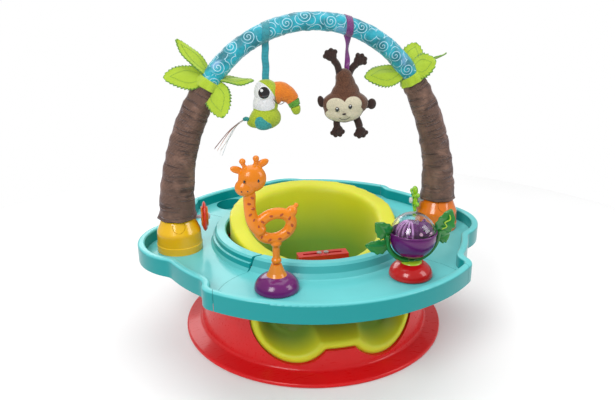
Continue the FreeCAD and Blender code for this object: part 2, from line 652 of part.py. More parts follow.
def bar_path(low):
    """Return the toy bar's centre line, from one foot over the crown to the other."""
    edges = []
    _, centre = side_arc()
    for sign in (-1, 1):
        foot = Vector(sign * size("foot_x"), 0, low)
        knee = Vector(sign * size("foot_x"), 0, centre.z)
        edges.append(Part.LineSegment(foot, knee).toShape())
        middle, _ = side_point(0.5, sign)
        edges.append(Part.Arc(knee, middle, bar_point(size("hub_angle"), sign)).toShape())
    edges.append(crown_arc(size("hub_angle")))
    return Part.Wire(Part.__sortEdges__(edges))


def crown_arc(degrees):
    """Return the crown's centre line between two angles either side of straight up."""
    return Part.Arc(bar_point(degrees, -1), bar_point(0, 1), bar_point(degrees, 1)).toShape()


def pipe(path, radius, start, direction):
    """Return a round bar along a path."""
    ring = Part.Wire(Part.makeCircle(radius, start, direction))
    return Part.Wire(path).makePipeShell([ring], True, True)


def crown_pipe(degrees, radius):
    """Return a round bar along the crown, between two angles either side of straight up."""
    turn = math.radians(degrees)
    return pipe(crown_arc(degrees), radius, bar_point(degrees, -1), Vector(math.cos(turn), 0, math.sin(turn)))


def trunk_radius(share):
    """Return the trunk's radius at a share of its height, from hem to hub."""
    low, middle, high = size("trunk_bottom_radius"), size("trunk_mid_radius"), size("trunk_top_radius")
    if share < 0.5:
        return low + (middle - low) * share / 0.5
    return middle + (high - middle) * (share - 0.5) / 0.5


def make_toy_bar():
    """Make the tube, plugs, printed sleeve and the two stuffed trunks."""
    tube_low = size("plug_bottom + plug_web")
    foot = Vector(-size("foot_x"), 0, tube_low)
    tube = pipe(bar_path(tube_low), size("tube_radius"), foot, Z_AXIS)
    bore = pipe(bar_path(tube_low), size("tube_radius - tube_wall"), foot, Z_AXIS)
    part(shape_object("tube", tube.cut(bore)), "bar_tube")

    plugs = []
    for sign in (-1, 1):
        body = cylinder(f"plug_body{sign}", "plug_radius", "plug_top - plug_bottom", f"{sign} * foot_x", "0",
                        "plug_bottom")
        bore = cylinder(f"plug_bore{sign}", "tube_radius", "plug_top - plug_bottom", f"{sign} * foot_x", "0",
                        "plug_bottom + plug_web")
        plugs.append(minus(f"plug{sign}", body, bore))
    part(grouped("plugs", *plugs), "bar_plugs")

    outer = crown_pipe(size("hub_angle") - 2, size("sleeve_radius"))
    inner = crown_pipe(size("hub_angle") + 2, size("tube_radius"))
    part(shape_object("sleeve", outer.cut(inner)), "bar_sleeve")

    radius, centre = side_arc()
    hem_share = math.degrees(math.asin((size("trunk_bottom_z") - centre.z) / radius)) / (90 - size("hub_angle"))
    for sign, side in ((-1, "left"), (1, "right")):
        rings = []
        for step in range(6):
            share = hem_share + (0.99 - hem_share) * step / 5
            point, direction = side_point(share, sign)
            rings.append(Part.Wire(Part.makeCircle(trunk_radius(share), point, direction)))
        hole_low = Vector(sign * size("foot_x"), 0, size("plug_bottom"))
        hole = pipe(bar_path(size("plug_bottom")), size("tube_radius"),
                    Vector(-size("foot_x"), 0, size("plug_bottom")), Z_AXIS)
        plug_room = Part.makeCylinder(size("plug_radius"), size("plug_top - plug_bottom") + 2, hole_low)
        trunk = Part.makeLoft(rings, True, False).cut(hole).cut(plug_room)
        part(shape_object(f"trunk_{side}_shape", trunk), f"trunk_{side}")


# name, side, yaw from +X, rise above level and roll about its own length, all in degrees
LEAVES = [
    ("leaf_left_out", -1, 188, 5, -52, 50), ("leaf_left_up", -1, 166, 46, 0, 53),
    ("leaf_left_down", -1, 292, -40, 35, 45), ("leaf_left_in", -1, 8, -4, 12, 42),
    ("leaf_right_in", 1, 187, 3, -52, 52), ("leaf_right_down", 1, 335, 15, 62, 34),
    ("leaf_right_out", 1, 8, 26, -5, 68), ("leaf_right_up", 1, 50, 48, 25, 36),
]


def make_leaves():
    """Make the felt leaves, each a flat blade that stands out from the top of its trunk."""
    half = size("leaf_width") / 2
    thick, start = size("leaf_thick"), size("leaf_start")
    for name, sign, yaw, rise, roll, length in LEAVES:
        root, tip = Vector(start, 0, 0), Vector(start + length, 0, 0)
        edges = [Part.Arc(root, Vector(start + length * 0.5, bow * half, 0), tip).toShape() for bow in (-1, 1)]
        blade = Part.Face(Part.Wire(Part.__sortEdges__(edges))).extrude(Vector(0, 0, thick))
        blade.translate(Vector(0, 0, -thick / 2))
        leaf = shape_object(f"{name}_blade", blade)
        turn = Rotation(Z_AXIS, yaw) * Rotation(Y_AXIS, -rise) * Rotation(X_AXIS, roll)
        leaf.Placement = Placement(bar_point(size("hub_angle") - 3, sign), turn)
        part(leaf, name)


# ---- spinners and suction toys ----------------------------------------------------------

def make_spinners():
    """Make the oval spinner on the left and the toothed one on the right."""
    near = "foot_x - palm_radius - 0.8"
    bore = "pin_radius + pin_gap"
    oval = doc.addObject("Part::Ellipse", "oval")
    bind(oval, MajorRadius="spinner_half_height", MinorRadius="spinner_half_width")
    plate = doc.addObject("Part::Extrusion", "oval_plate")
    plate.Base, plate.DirMode, plate.Dir, plate.Solid = oval, "Custom", Z_AXIS, True
    bind(plate, LengthFwd="spinner_thick")
    place(plate, "-foot_x + palm_radius + 0.8 + spinner_thick", "0", "spinner_z", Rotation(Y_AXIS, -90))
    hole = cylinder("oval_hole", bore, "40", "-foot_x + 20", "0", "spinner_z", X_AXIS)
    part(minus("oval_cut", plate, hole), "spinner_left")

    disc = cylinder("gear_disc", "gear_radius - 4", "spinner_thick", near, "0", "spinner_z", X_AXIS * -1)
    lumps = []
    for number in range(6):
        lumps.append(cylinder(f"gear_lump{number}", "5", "spinner_thick", near,
                              f"(gear_radius - 5) * cos(60 * {number})",
                              f"spinner_z + (gear_radius - 5) * sin(60 * {number})", X_AXIS * -1))
    hole = cylinder("gear_hole", bore, "40", "foot_x - 20", "0", "spinner_z", X_AXIS * -1)
    part(minus("gear_cut", joined("gear_blank", disc, *lumps), hole), "spinner_right")


def make_suction_base(name, x, neck_radius, cross_bore=None):
    """Make a domed suction base with a seat for the toy's foot on top and maybe a bore across it."""
    height = "suction_height"
    base = turned(f"{name}_dome", [
        ("suction_radius - 3", "0"), ("suction_radius", "2.5"), (f"suction_radius - 1", f"{height} * 0.45"),
        ("suction_radius - 9", f"{height} * 0.86"), (f"{neck_radius} + 2.6", height),
        (f"{neck_radius} + 0.6", height), (f"{neck_radius} + 0.6", f"{height} - 2"), ("7", f"{height} - 2"),
        ("7", f"{height} - 10"), ("0", f"{height} - 10"), ("0", "5")],
        [("suction_radius - 1", f"{height} * 0.45", "6"), ("suction_radius - 9", f"{height} * 0.86", "4")])
    place(base, x, "-toy_y", "tray_floor_z")
    if cross_bore:
        bore = cylinder(f"{name}_cross_bore", cross_bore, "20", f"{x} - 10", "-toy_y", "rock_z", X_AXIS)
        base = minus(f"{name}_bored", base, bore)
    return part(base, name)


def make_giraffe():
    """Make the giraffe: suction base, cone foot that rocks, and the figure that spins on it."""
    x, y = "-giraffe_x", "-toy_y"
    make_suction_base("giraffe_base", x, "cone_radius", "rock_pin_radius + pin_gap")
    foot_z = "tray_floor_z + suction_height + cone_gap - 2"
    foot = turned("giraffe_cone", [
        ("0", "-10.5 + cone_gap"), ("3", "-10.5 + cone_gap"), ("6", "-7.5 + cone_gap"), ("5.5", "0"),
        ("cone_radius - 1", "0"), ("cone_radius", "1.5"), ("cone_radius * 0.8", "cone_height * 0.35"),
        ("7", "cone_height"), ("axle_radius", "cone_height"), ("axle_radius", "cone_height * 0.4"),
        ("0", "cone_height * 0.4")],
        [("cone_radius * 0.8", "cone_height * 0.35", "5")])
    rock_pin = cylinder("giraffe_rock_pin", "rock_pin_radius", "19", f"{x} - 9.5", y, "rock_z", X_AXIS)
    part(joined("giraffe_foot_and_pin", place(foot, x, y, foot_z), rock_pin), "giraffe_foot")
    part(cylinder("giraffe_pin", "axle_radius", "26", x, y, f"{foot_z} + cone_height * 0.4"), "giraffe_pivot")

    stem_z = f"{foot_z} + cone_height + 0.4"
    stem = cylinder("giraffe_stem", "5", "40", x, y, stem_z)
    beads = [ball(f"giraffe_bead{number}", "7", x, y, f"{stem_z} + {rise}") for number, rise in ((0, 7.4), (1, 20))]
    ring_z = f"{stem_z} + 37 + body_ring_tube + body_ring_radius - 5"
    ring = hoop("giraffe_ring", "body_ring_radius", "body_ring_tube", x, y, ring_z, Y_AXIS)
    rump = egg("giraffe_rump", ("8", "7", "9"), (f"{x} + body_ring_radius + 3", y, f"{ring_z} + 12"))
    tail = ball("giraffe_tail", "3.5", f"{x} + body_ring_radius + 8", y, f"{ring_z} + 21")
    lean = Vector(-14, 0, 44)
    neck = cone("giraffe_neck", "8.5", "6.5", "50", f"{x} - body_ring_radius + 1", y, f"{ring_z} + 4", lean)
    head_at = (f"{x} - body_ring_radius - 13", y, f"{ring_z} + 58")
    head = egg("giraffe_head", ("19", "13", "17"), head_at)
    horns = []
    for number, shift in ((0, -9), (1, 8)):
        horns.append(cylinder(f"giraffe_horn{number}", "2.8", "18", f"{head_at[0]} + {shift}", y,
                              f"{head_at[2]} + 6"))
        horns.append(ball(f"giraffe_knob{number}", "4.2", f"{head_at[0]} + {shift}", y, f"{head_at[2]} + 25"))
        horns.append(egg(f"giraffe_ear{number}", ("8", "3", "5"),
                         (f"{head_at[0]} + {shift} * 1.9", y, f"{head_at[2]} + 12")))
    body = joined("giraffe_body", stem, *beads, ring, rump, tail, neck, head, *horns)
    bore = cylinder("giraffe_bore", "axle_radius + pin_gap", "24", x, y, f"{stem_z} - 3")
    part(minus("giraffe_cut", body, bore), "giraffe_figure")


def make_beet():
    """Make the beet rattle: suction base, leafy fork, axle and the ball that rolls on it."""
    x, y, z = "beet_x", "-toy_y", "beet_z"
    make_suction_base("beet_base", x, "cone_radius")
    foot_z = "tray_floor_z + suction_height - 1.6"
    post = cylinder("beet_post", "6.5", "9", x, y, f"{foot_z} - 7.5")
    disc = cylinder("beet_disc", "cone_radius", "6", x, y, foot_z)
    reach = "beet_radius + arm_gap"
    cradle = minus("beet_cradle", ball("beet_cradle_out", f"{reach} + 4", x, y, z),
                   ball("beet_cradle_in", reach, x, y, z))
    band = box("beet_band", (f"{x} - {reach} - 6", f"{y} - 7", f"{foot_z}"),
               (f"{x} + {reach} + 6", f"{y} + 7", f"{z} + 6"))
    arms = shared("beet_arms", cradle, band)
    leaves = []
    for number, (side, out, rise, turn) in enumerate(((-1, 1, 4, 155), (-1, 0, -8, 205), (1, 1, 4, 25),
                                                      (1, 0, -8, -25))):
        edges = [Part.Arc(Vector(), Vector(16, 0, bow * 10), Vector(32, 0, 0)).toShape() for bow in (-1, 1)]
        blade = Part.Face(Part.Wire(Part.__sortEdges__(edges))).extrude(Vector(0, 6, 0))
        blade.translate(Vector(0, -3, 0))
        leaf = shape_object(f"beet_leaf{number}", blade)
        leaf.Placement = Placement(Vector(size(f"{x} + {side} * ({reach} + {out})"), size(y), size(f"{z} + {rise}")),
                                   Rotation(Y_AXIS, -turn))
        leaves.append(leaf)
    room = ball("beet_room", reach, x, y, z)
    stem = minus("beet_stem_cut", joined("beet_stem_blank", post, disc, arms, *leaves), room,
                 cylinder("beet_axle_hole", "axle_radius", f"2 * ({reach}) + 4", f"{x} - {reach} - 2", y, z, X_AXIS))
    part(stem, "beet_stem")
    part(cylinder("beet_rod", "axle_radius", f"2 * ({reach}) + 4", f"{x} - {reach} - 2", y, z, X_AXIS),
         "beet_axle")

    bore = "axle_radius + pin_gap"
    split = f"{z} + 6"
    shell = minus("beet_shell_solid", ball("beet_out", "beet_radius", x, y, z),
                  ball("beet_in", "beet_radius - beet_shell", x, y, z),
                  cylinder("beet_bore", bore, "90", f"{x} - 45", y, z, X_AXIS))
    low = box("beet_low", (f"{x} - 50", f"{y} - 50", f"{z} - 50"), (f"{x} + 50", f"{y} + 50", split))
    high = box("beet_high", (f"{x} - 50", f"{y} - 50", split), (f"{x} + 50", f"{y} + 50", f"{z} + 50"))
    part(shared("beet_cup_half", shell, low), "beet_cup")
    part(shared("beet_window_half", shell, high), "beet_window")
    middle = Vector(size(x), size(y), size(z))
    core = Part.makeSphere(19.5, middle, X_AXIS)
    tunnel = Part.makeCylinder(size(bore), 60, middle - X_AXIS * 30, X_AXIS)
    part(shape_object("beet_face_shape", core.cut(tunnel)), "beet_face")


# ---- hanging toys -----------------------------------------------------------------------

def make_strap(name, x, sign, end):
    """Make a ribbon that loops round the sleeve and hangs straight down to a toy."""
    lean = math.degrees(math.asin(size(x) / size("crown_radius")))
    at = bar_point(lean, sign)
    turn = math.radians(lean)
    along = Vector(math.cos(turn), 0, -sign * math.sin(turn))
    inner = size("sleeve_radius + loop_gap")
    thick, width = size("strap_thick"), size("strap_width")
    start = at - along * (width / 2)
    loop = Part.makeCylinder(inner + thick, width, start, along)
    band_top = at.z - inner - thick / 2
    band = Part.makeBox(width, thick, band_top - size(end) + 3, Vector(at.x - width / 2, -thick / 2, size(end)))
    hole = Part.makeCylinder(inner, 3 * width, at - along * (1.5 * width), along)
    return part(shape_object(f"{name}_shape", loop.fuse(band).cut(hole)), name)


def make_toucan():
    """Make the hanging toucan: body, beak, wing and ribbon tail."""
    make_strap("toucan_strap", "toucan_x", -1, "toucan_strap_end")
    x = "-toucan_x"
    head = egg("toucan_head", ("20", "15", "19"), (x, "0", "toucan_strap_end - 20"))
    trunk = egg("toucan_trunk", ("22", "16", "24"), (f"{x} - 4", "0", "toucan_strap_end - 55"))
    throat = cylinder("toucan_throat", "14", "26", f"{x} - 2", "0", "toucan_strap_end - 50")
    part(joined("toucan_plush", head, trunk, throat), "toucan_body")

    beak = doc.addObject("Part::Torus", "toucan_beak_ring")
    beak.Radius1, beak.Radius2, beak.Angle3 = 24, 9, 100
    place(beak, f"{x} + 19", "0", "toucan_strap_end - 50", Rotation(X_AXIS, 90))
    clear = egg("toucan_head_room", ("20.4", "15.4", "19.4"), (x, "0", "toucan_strap_end - 20"))
    clear_trunk = egg("toucan_trunk_room", ("22.4", "16.4", "24.4"), (f"{x} - 4", "0", "toucan_strap_end - 55"))
    clear_throat = cylinder("toucan_throat_room", "14.4", "26.4", f"{x} - 2", "0", "toucan_strap_end - 50")
    part(minus("toucan_beak_cut", beak, clear, clear_trunk, clear_throat), "toucan_beak")

    wing = egg("toucan_wing_egg", ("13", "3", "17"), (f"{x} - 5", "-19.5", "toucan_strap_end - 57"))
    part(wing, "toucan_wing")
    tail = doc.addObject("Part::Box", "toucan_tail_box")
    tail.Length, tail.Width, tail.Height = 6, 24, 54
    place(tail, f"{x} - 26", "-12", "toucan_strap_end - 66", Rotation(Y_AXIS, -130))
    part(minus("toucan_tail_cut", tail, egg("tail_room", ("22.4", "16.4", "24.4"),
                                            (f"{x} - 4", "0", "toucan_strap_end - 55"))), "toucan_tail")


def make_monkey():
    """Make the hanging monkey: body, head, four limbs and two ears."""
    make_strap("monkey_strap", "monkey_x", 1, "monkey_strap_end")
    x, z = "monkey_x - 2", "monkey_strap_end"
    body_size, body_at = ("21", "16", "19"), (x, "0", f"{z} - 19.3")
    head_size, head_at = ("33", "20", "26"), (f"{x} - 1", "0", f"{z} - 55")
    part(egg("monkey_trunk", body_size, body_at), "monkey_body")
    body_room = egg("monkey_body_room", ("21.4", "16.4", "19.4"), body_at)
    part(minus("monkey_head_cut", egg("monkey_head_egg", head_size, head_at), body_room), "monkey_head")
    head_room = egg("monkey_head_room", ("33.4", "20.4", "26.4"), head_at)
    limbs = []
    for number, (start, end, radius) in enumerate((
            ((-14, 0, -14), (-26, 0, 16), 8), ((16, 0, -14), (24, 0, 14), 8),
            ((-12, 0, -72), (-17, 0, -104), 7), ((14, 0, -72), (23, 0, -106), 7))):
        a, b = Vector(*start), Vector(*end)
        rod = cylinder(f"monkey_limb{number}", str(radius), str((b - a).Length), f"{x} + {a.x}", str(a.y),
                       f"{z} + {a.z}", b - a)
        tip = ball(f"monkey_paw{number}", str(radius + 2), f"{x} + {b.x}", str(b.y), f"{z} + {b.z}")
        limbs.append(minus(f"monkey_limb_cut{number}", joined(f"monkey_limb_rod{number}", rod, tip),
                           joined(f"monkey_rooms{number}", body_room, head_room)))
    part(grouped("monkey_arms_legs", *limbs), "monkey_limbs")
    ears = [egg(f"monkey_ear{sign}", ("9.5", "5", "13"), (f"{head_at[0]} + {sign} * 43.5", "2", f"{z} - 52"))
            for sign in (-1, 1)]
    part(grouped("monkey_both_ears", *ears), "monkey_ears")


# ---- build, check and write -------------------------------------------------------------

def check_document():
    """Stop if any object failed or any piece has no valid solid."""
    doc.recompute()
    for thing in doc.Objects:
        if {"Invalid", "Error"} & set(thing.State):
            raise RuntimeError(f"{thing.Name} failed: {thing.State}")
    for piece in PARTS:
        if piece.Shape.isNull() or not piece.Shape.isValid() or not piece.Shape.Solids:
            raise RuntimeError(f"{piece.Label} has no valid solid")


base_fixings = make_base()
part(grouped("base_fixings", *base_fixings, *make_seat()), "base_screws")
part(grouped("tray_fixings", *make_tray()), "tray_screws")
make_palm_bases()
make_toy_bar()
make_leaves()
make_spinners()
make_giraffe()
make_beet()
make_toucan()
make_monkey()
check_document()

for piece in PARTS:
    piece.Shape.exportStep(f"parts/{piece.Label}.step")
    print(f"{piece.Label:22s} {len(piece.Shape.Solids):3d} solids {piece.Shape.Volume / 1000:9.1f} cm3")
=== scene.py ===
"""Looks of a floor activity seat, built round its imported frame.

Lengths are written in millimetres and turned into metres by `at` and `MM`. The frame's axes
hold: +Z is up, -Y is the front where the legs come out, and +X is the orange palm base.
"""

from __future__ import annotations

import json
import logging
import math
from dataclasses import dataclass, field
from enum import Enum
from typing import Any, Callable, Optional, Protocol, Sequence

import bmesh
import bpy
from mathutils import Matrix, Vector, noise

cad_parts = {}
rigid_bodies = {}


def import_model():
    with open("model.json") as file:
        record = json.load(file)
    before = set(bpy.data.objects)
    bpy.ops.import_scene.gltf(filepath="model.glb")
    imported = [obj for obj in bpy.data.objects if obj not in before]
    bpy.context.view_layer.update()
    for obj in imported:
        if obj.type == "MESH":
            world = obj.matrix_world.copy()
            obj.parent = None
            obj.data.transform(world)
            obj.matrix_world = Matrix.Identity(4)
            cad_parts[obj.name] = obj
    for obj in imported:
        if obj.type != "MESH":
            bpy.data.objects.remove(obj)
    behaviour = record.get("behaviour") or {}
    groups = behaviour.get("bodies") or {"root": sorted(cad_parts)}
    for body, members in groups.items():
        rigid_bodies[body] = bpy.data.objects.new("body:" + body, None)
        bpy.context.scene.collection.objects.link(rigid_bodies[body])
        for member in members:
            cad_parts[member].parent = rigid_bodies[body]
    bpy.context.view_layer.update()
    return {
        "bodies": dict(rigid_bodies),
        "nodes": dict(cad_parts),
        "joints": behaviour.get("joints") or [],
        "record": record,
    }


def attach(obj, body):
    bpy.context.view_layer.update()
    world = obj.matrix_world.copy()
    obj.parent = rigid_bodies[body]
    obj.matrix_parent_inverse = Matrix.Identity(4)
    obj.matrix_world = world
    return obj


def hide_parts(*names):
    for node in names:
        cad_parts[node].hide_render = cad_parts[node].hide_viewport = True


LOG = logging.getLogger("activity_seat")

MM = 0.001
TAU = 2 * math.pi

Steps = tuple[int, int, int]
Line = Callable[[float], Vector]
Surface = Callable[[float, float], Vector]


class Side(Enum):
    """The two sides of the seat, as the sign of X."""

    LEFT = -1
    RIGHT = 1


# ---- finishes -----------------------------------------------------------------------------


def at(x: float, y: float, z: float) -> Vector:
    """Returns a point in metres from millimetres."""
    return Vector((x * MM, y * MM, z * MM))


def paint(steps: Steps, gain: float = 1.0) -> tuple[float, float, float, float]:
    """Turns display colour steps into a shader colour.

    Args:
        steps: Red, green and blue from 0 to 255.
        gain: Factor on the shader's colour, below 1 for a deeper tone.

    Returns:
        The colour and an alpha of 1.
    """
    line = []
    for step in steps:
        share = step / 255
        value = share / 12.92 if share <= 0.04045 else ((share + 0.055) / 1.055) ** 2.4
        line.append(min(value * gain, 1.0))
    return (line[0], line[1], line[2], 1.0)


class NodeBook:
    """A material and short ways to add and join its nodes."""

    def __init__(self, name: str) -> None:
        """Starts a material with a Principled shader."""
        self.material = bpy.data.materials.new(name)
        self.material.use_nodes = True
        self.tree = self.material.node_tree
        self.shader = self.tree.nodes["Principled BSDF"]
        self.where = self.node("ShaderNodeTexCoord")

    def put(self, socket: bpy.types.NodeSocket, value: Any) -> None:
        """Joins a socket to another, or sets its value."""
        if isinstance(value, bpy.types.NodeSocket):
            self.tree.links.new(value, socket)
        else:
            socket.default_value = value

    def node(self, kind: str, inputs: Optional[dict] = None, **settings: Any) -> bpy.types.Node:
        """Adds a node.

        Args:
            kind: The node's type name.
            inputs: Values or sockets by input name or number.
            **settings: The node's own properties.

        Returns:
            The new node.
        """
        made = self.tree.nodes.new(kind)
        for key, value in settings.items():
            setattr(made, key, value)
        for key, value in (inputs or {}).items():
            self.put(made.inputs[key], value)
        return made

    def math(self, operation: str, a: Any, b: Any = 0.0, c: Any = 0.0) -> bpy.types.NodeSocket:
        """Returns the output of a Math node."""
        return self.node("ShaderNodeMath", {0: a, 1: b, 2: c}, operation=operation).outputs[0]

    def ramp(self, value: Any, low: float, high: float) -> bpy.types.NodeSocket:
        """Returns a smooth step from 0 at low to 1 at high."""
        made = self.node("ShaderNodeMapRange", {"Value": value, "From Min": low, "From Max": high},
                         interpolation_type="SMOOTHSTEP")
        return made.outputs["Result"]

    def mix(self, share: Any, a: Any, b: Any, blend: str = "MIX") -> bpy.types.NodeSocket:
        """Returns a mix of two colours."""
        made = self.node("ShaderNodeMix", {0: share, 6: a, 7: b}, data_type="RGBA", blend_type=blend)
        return made.outputs[2]

    def stretch(self, vector: Any, scale: Sequence[float]) -> bpy.types.NodeSocket:
        """Returns a vector scaled along its three axes."""
        return self.node("ShaderNodeMapping", {"Vector": vector, "Scale": scale}).outputs[0]

    def cloud(self, scale: float, detail: float = 2.0, vector: Any = None,
              blur: float = 0.5) -> bpy.types.NodeSocket:
        """Returns noise of that many spots per metre, on the piece's own place by default."""
        made = self.node("ShaderNodeTexNoise", {"Vector": vector or self.where.outputs["Object"],
                                                "Scale": scale, "Detail": detail, "Roughness": blur})
        return made.outputs["Fac"]

    def relief(self, height: Any, depth: float, strength: float = 1.0,
               below: Any = None) -> bpy.types.NodeSocket:
        """Returns a normal bent by a height, with its depth in metres."""
        inputs = {"Height": height, "Distance": depth, "Strength": strength}
        if below is not None:
            inputs["Normal"] = below
        return self.node("ShaderNodeBump", inputs).outputs["Normal"]

    def finish(self, **sockets: Any) -> bpy.types.Material:
        """Sets the shader's sockets, with spaces as underscores, and returns the material."""
        for name, value in sockets.items():
            self.put(self.shader.inputs[name.replace("_", " ")], value)
        return self.material


class Finish(Protocol):
    """Anything that can make a material."""

    def make(self, name: str) -> bpy.types.Material:
        """Returns the material."""
        ...


@dataclass(frozen=True)
class Moulded:
    """Injection-moulded plastic: an even colour with flow marks and a soft gloss; a `wall` colour, where
    given, is painted shade on faces that point sideways or down.
    """

    colour: Steps
    roughness: float = 0.3
    gloss_coat: float = 0.35
    deep: float = 0.86
    glow: float = 0.0
    # wall: painted shade colour for faces that point sideways or down.
    wall: Optional[Steps] = None
    shine: float = 0.5

    def make(self, name: str) -> bpy.types.Material:
        """Returns the plastic."""
        book = NodeBook(name)
        flow = book.cloud(14, 3)
        tone = book.mix(book.ramp(flow, 0.3, 0.7), paint(self.colour, self.deep), paint(self.colour))
        # Painted shade by face direction: faces turned up keep the colour, upright and downward faces take
        # the wall colour.
        if self.wall:
            lie = book.node("ShaderNodeSeparateXYZ",
                            {0: book.node("ShaderNodeNewGeometry").outputs["Normal"]})
            tone = book.mix(book.ramp(lie.outputs["Z"], 0.0, 0.75), paint(self.wall), tone)
        grain = book.cloud(1500, 2)
        sink = book.cloud(26, 1)
        scuff = book.cloud(1.0, 4, book.stretch(book.where.outputs["Object"], (60, 420, 260)))
        rough = book.math("MULTIPLY_ADD", scuff, 0.05, self.roughness - 0.025)
        bent = book.relief(grain, 0.00002, 0.5, book.relief(sink, 0.0005, 0.25))
        return book.finish(Base_Color=tone, Roughness=rough, Normal=bent, Coat_Weight=self.gloss_coat,
                           Specular_IOR_Level=self.shine, Coat_Roughness=0.06, Subsurface_Weight=self.glow,
                           Subsurface_Scale=0.004)


@dataclass(frozen=True)
class Foam:
    """Skinned soft foam with fine pores and a satin skin, with painted shade in its pores and where the
    `deep` attribute asks for it.
    """

    colour: Steps
    # shade: painted shade colour, for the bucket, the leg holes and the pores.
    shade: Steps
    pores: float = 1400.0

    def make(self, name: str) -> bpy.types.Material:
        """Returns the foam."""
        book = NodeBook(name)
        broad = book.cloud(9, 2)
        pore = book.node("ShaderNodeTexVoronoi",
                         {"Vector": book.where.outputs["Object"], "Scale": self.pores})
        tone = book.mix(book.ramp(broad, 0.35, 0.7), paint(self.colour, 0.93), paint(self.colour))
        # Painted shade: the `deep` attribute blends the foam towards its shade colour.
        deep = book.node("ShaderNodeAttribute", attribute_name="deep").outputs["Fac"]
        tone = book.mix(deep, tone, paint(self.shade))
        # Painted shade in the pores: pore centres take a darker copy of the shade colour.
        tone = book.mix(book.ramp(pore.outputs["Distance"], 0.12, 0.0), tone, paint(self.shade, 0.8))
        bent = book.relief(pore.outputs["Distance"], 0.00012, 0.35,
                           book.relief(book.cloud(60, 3), 0.0006, 0.25))
        rough = book.math("MULTIPLY_ADD", book.cloud(220, 3), 0.12, 0.40)
        return book.finish(Base_Color=tone, Roughness=rough, Normal=bent, Sheen_Weight=0.12,
                           Subsurface_Weight=0.18, Subsurface_Scale=0.008)


@dataclass(frozen=True)
class Plush:
    """Short-pile plush: tufts that catch the light at their tips.

    A mask turns part of it to a second colour.
    """

    colour: Steps
    root: Steps
    patch: Optional[Steps] = None
    pile: float = 900.0
    fleck: float = 0.0

    def make(self, name: str) -> bpy.types.Material:
        """Returns the plush."""
        book = NodeBook(name)
        tuft = book.cloud(self.pile, 4, blur=0.7)
        lay = book.cloud(self.pile / 6, 3)
        # Painted pile shade and light: the root colour is painted shade between the tufts, the main colour
        # the lit tips.
        tone = book.mix(book.ramp(tuft, 0.36, 0.62), paint(self.root), paint(self.colour))
        if self.patch:
            mask = book.node("ShaderNodeAttribute", attribute_name="mask").outputs["Fac"]
            spots = book.ramp(book.cloud(420, 2), 0.60, 0.66)
            second = book.mix(book.math("MULTIPLY", spots, self.fleck), paint(self.patch),
                              paint(self.patch, 0.35))
            # The same painted pile shade on the second colour.
            second = book.mix(book.ramp(tuft, 0.6, 0.35), second, paint(self.patch, 0.72))
            tone = book.mix(book.ramp(mask, 0.46, 0.54), tone, second)
        bent = book.relief(tuft, 0.0007, 0.8, book.relief(lay, 0.0014, 0.5))
        return book.finish(Base_Color=tone, Roughness=0.92, Normal=bent, Sheen_Weight=0.55,
                           Sheen_Roughness=0.45)


@dataclass(frozen=True)
class Felt:
    """Pressed felt with loose fibres and a cut edge that shows darker along the `rim` attribute."""

    colour: Steps
    edge: Steps

    def make(self, name: str) -> bpy.types.Material:
        """Returns the felt."""
        book = NodeBook(name)
        fibre = book.cloud(1.0, 5, book.stretch(book.where.outputs["Object"], (900, 2100, 1300)), 0.75)
        rim = book.node("ShaderNodeAttribute", attribute_name="rim").outputs["Fac"]
        tone = book.mix(book.ramp(fibre, 0.34, 0.66), paint(self.colour, 0.72), paint(self.colour))
        tone = book.mix(book.ramp(rim, 0.86, 0.97), tone, paint(self.edge))
        bent = book.relief(fibre, 0.0004, 0.7, book.relief(book.cloud(120, 3), 0.0008, 0.5))
        return book.finish(Base_Color=tone, Roughness=0.88, Normal=bent, Sheen_Weight=0.35)


@dataclass(frozen=True)
class RibbedCloth:
    """Napped cloth with fine ribs across its length, read from its UV map in metres, with painted shade in
    its rib grooves and creases.
    """

    colour: Steps
    # hollow: painted shade colour for the rib grooves and creases.
    hollow: Steps
    rib: float = 3.0

    def make(self, name: str) -> bpy.types.Material:
        """Returns the cloth."""
        book = NodeBook(name)
        flat = book.node("ShaderNodeSeparateXYZ", {0: book.where.outputs["UV"]})
        drift = book.cloud(45, 3)
        turns = book.math("MULTIPLY_ADD", flat.outputs["Y"], 1000 * TAU / self.rib,
                          book.math("MULTIPLY", drift, 5.0))
        wave = book.math("MULTIPLY_ADD", book.math("SINE", turns), 0.5, 0.5)
        nap = book.cloud(1.0, 4, book.stretch(book.where.outputs["Object"], (1500, 1500, 420)), 0.7)
        blend = book.math("MULTIPLY_ADD", nap, 0.6, book.math("MULTIPLY", wave, 0.4))
        # Painted shade in the rib grooves, mixed with random nap tone.
        tone = book.mix(book.ramp(blend, 0.28, 0.68), paint(self.hollow), paint(self.colour))
        crease = book.ramp(book.cloud(1.0, 3, book.stretch(book.where.outputs["UV"], (16, 150, 1)), 0.6), 0.5,
                           0.34)
        # Painted shade in the creases.
        tone = book.mix(book.math("MULTIPLY", crease, 0.75), tone, paint(self.hollow, 0.7))
        tone = book.mix(book.ramp(book.cloud(38, 3), 0.45, 0.75), tone, paint(self.colour, 1.35))
        bent = book.relief(wave, 0.0005, 0.7,
                           book.relief(nap, 0.0003, 0.6, book.relief(crease, -0.0018, 0.8)))
        return book.finish(Base_Color=tone, Roughness=0.8, Normal=bent, Sheen_Weight=0.7,
                           Sheen_Roughness=0.35,
                           Sheen_Tint=paint((214, 206, 218)))


